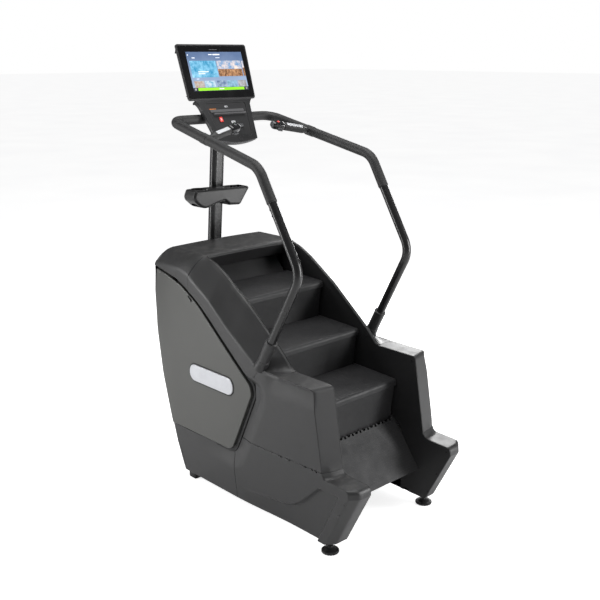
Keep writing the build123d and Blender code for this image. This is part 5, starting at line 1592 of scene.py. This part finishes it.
tile("screen_picture", -180, 180, 42, 245, "ui_sky", 0.0, 0.5)
tile("screen_band", -180, 180, 42, 60.5, "ui_band", 0.05, 0.3)
tile("screen_bar", -150, 150, 45, 59, "ui_green", 0.1, 1.0)
tile("screen_card_left", -169, -2, 113, 199, "ui_cyan", 0.05)
tile("screen_card_sky", 3, 162, 154, 199, "ui_dusk", 0.05)
tile("screen_card_shore", 3, 162, 117, 155, "ui_shore", 0.08)
tile("screen_card_edge_sky", 168, 180, 160, 197, "ui_dusk", 0.05)
tile("screen_card_edge_shore", 168, 180, 117, 161, "ui_shore", 0.08)
for k, (x0, x1) in enumerate(((-166, -104), (-98, -34), (-22, 40), (46, 110), (118, 172))):
    tile(f"screen_thumb_{k}", x0, x1, 61.0, 95, f"ui_thumb{k}", 0.05)
tile("screen_title_pill", -12, 34, 228, 234, "ui_white", 0.08, 2.8)
tile("screen_title_mark", -40, -16, 229, 233, "ui_white", 0.08, 1.9)
tile("screen_menu_a", -150, -130, 212, 216, "ui_white", 0.08, 1.9)
tile("screen_menu_b", 2, 30, 213, 215.5, "ui_white", 0.08, 1.2)
tile("screen_back_dot", -174, -168, 226, 232, "ui_white", 0.08, 2.9)
tile("screen_row_title", -146, -130, 104, 107, "ui_white", 0.08, 1.4)
tile("screen_icon_left", -172, -160, 46, 58, "ui_thumb4", 0.1, 5.8)
tile("screen_icon_right", 160, 172, 46, 58, "ui_thumb4", 0.1, 5.8)
tile("screen_bar_mark", -16, 16, 50.5, 54, "ui_white", 0.14, 1.6)
tile("screen_top_mark", -28, 24, 255.5, 258.5, "ledge_grey", 0.08, 1.4)
tile("screen_card_dots", -128, -60, 140, 144, "ui_white", 0.1, 1.9)
tile("screen_card_dots_b", -128, -84, 130, 134, "ui_white", 0.1, 1.9)

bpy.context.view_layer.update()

# ------------------------------------------------------------------ stage, light and camera


def stage_material():
    n = Nodes("studio_floor")
    tone = n.mix(n.span(n.noise(0.7, 3), 0, 1), (0.90, 0.90, 0.905), (0.93, 0.93, 0.93))
    n.link(tone, n.bsdf.inputs["Emission Color"])
    kind = n.add("ShaderNodeLightPath")
    n.link(n.span(kind.outputs["Is Camera Ray"], 0.10, 0.88, 0, 1), n.bsdf.inputs["Emission Strength"])
    n.bsdf.inputs["Specular IOR Level"].default_value = 0.0
    return n.finish(tone, n.span(n.noise(40, 3), 0.8, 0.9))


floor = bpy.data.meshes.new("floor")
floor.from_pydata([(-90, -90, 0), (90, -90, 0), (90, 90, 0), (-90, 90, 0)], [], [(0, 1, 2, 3)])
floor_obj = bpy.data.objects.new("floor", floor)
floor.materials.append(stage_material())
bpy.context.scene.collection.objects.link(floor_obj)

world = bpy.data.worlds.new("studio")
bpy.context.scene.world = world
world.use_nodes = True
sky = world.node_tree.nodes["Background"]
sky.inputs[0].default_value = (1, 1, 1, 1)
path_kind = world.node_tree.nodes.new("ShaderNodeLightPath")
dim = world.node_tree.nodes.new("ShaderNodeMapRange")
dim.inputs["To Min"].default_value = 0.16
dim.inputs["To Max"].default_value = 1.0
world.node_tree.links.new(path_kind.outputs["Is Camera Ray"], dim.inputs["Value"])
world.node_tree.links.new(dim.outputs["Result"], sky.inputs[1])
bpy.context.scene.view_settings.view_transform = "Standard"


def softbox(name, place, aim, size, power, colour=(1, 1, 1)):
    light = bpy.data.lights.new(name, "AREA")
    light.shape = "RECTANGLE"
    light.size, light.size_y = size
    light.energy = power
    light.color = colour
    obj = bpy.data.objects.new(name, light)
    obj.location = place
    obj.rotation_euler = (Vector(aim) - Vector(place)).to_track_quat("-Z", "Y").to_euler()
    bpy.context.scene.collection.objects.link(obj)
    return obj


softbox("top", (-0.2, -0.2, 5.2), (0, 0, 0.8), (3.6, 3.6), 170)
softbox("front_right", (2.9, -4.2, 1.9), (0, 0, 1.0), (1.3, 3.4), 210)
softbox("left_rear", (-3.6, 2.7, 1.9), (-0.2, 0.3, 0.9), (0.8, 3.4), 105)
softbox("right_rear", (3.8, 2.0, 2.4), (0.2, 0, 0.8), (1.2, 3.0), 90)

yaw, pitch_angle = radians(-43.3093), radians(15.5347)
camera = bpy.data.objects.new("camera", bpy.data.cameras.new("camera"))
camera.data.lens = 889.72 / 600 * 36
camera.data.sensor_width = 36
camera.location = (-2.93256, -3.09438, 2.21209)
back = Vector((sin(yaw) * cos(pitch_angle), -cos(yaw) * cos(pitch_angle), sin(pitch_angle)))
camera.rotation_euler = (-back).to_track_quat("-Z", "Y").to_euler()
bpy.context.scene.collection.objects.link(camera)
bpy.context.scene.camera = camera
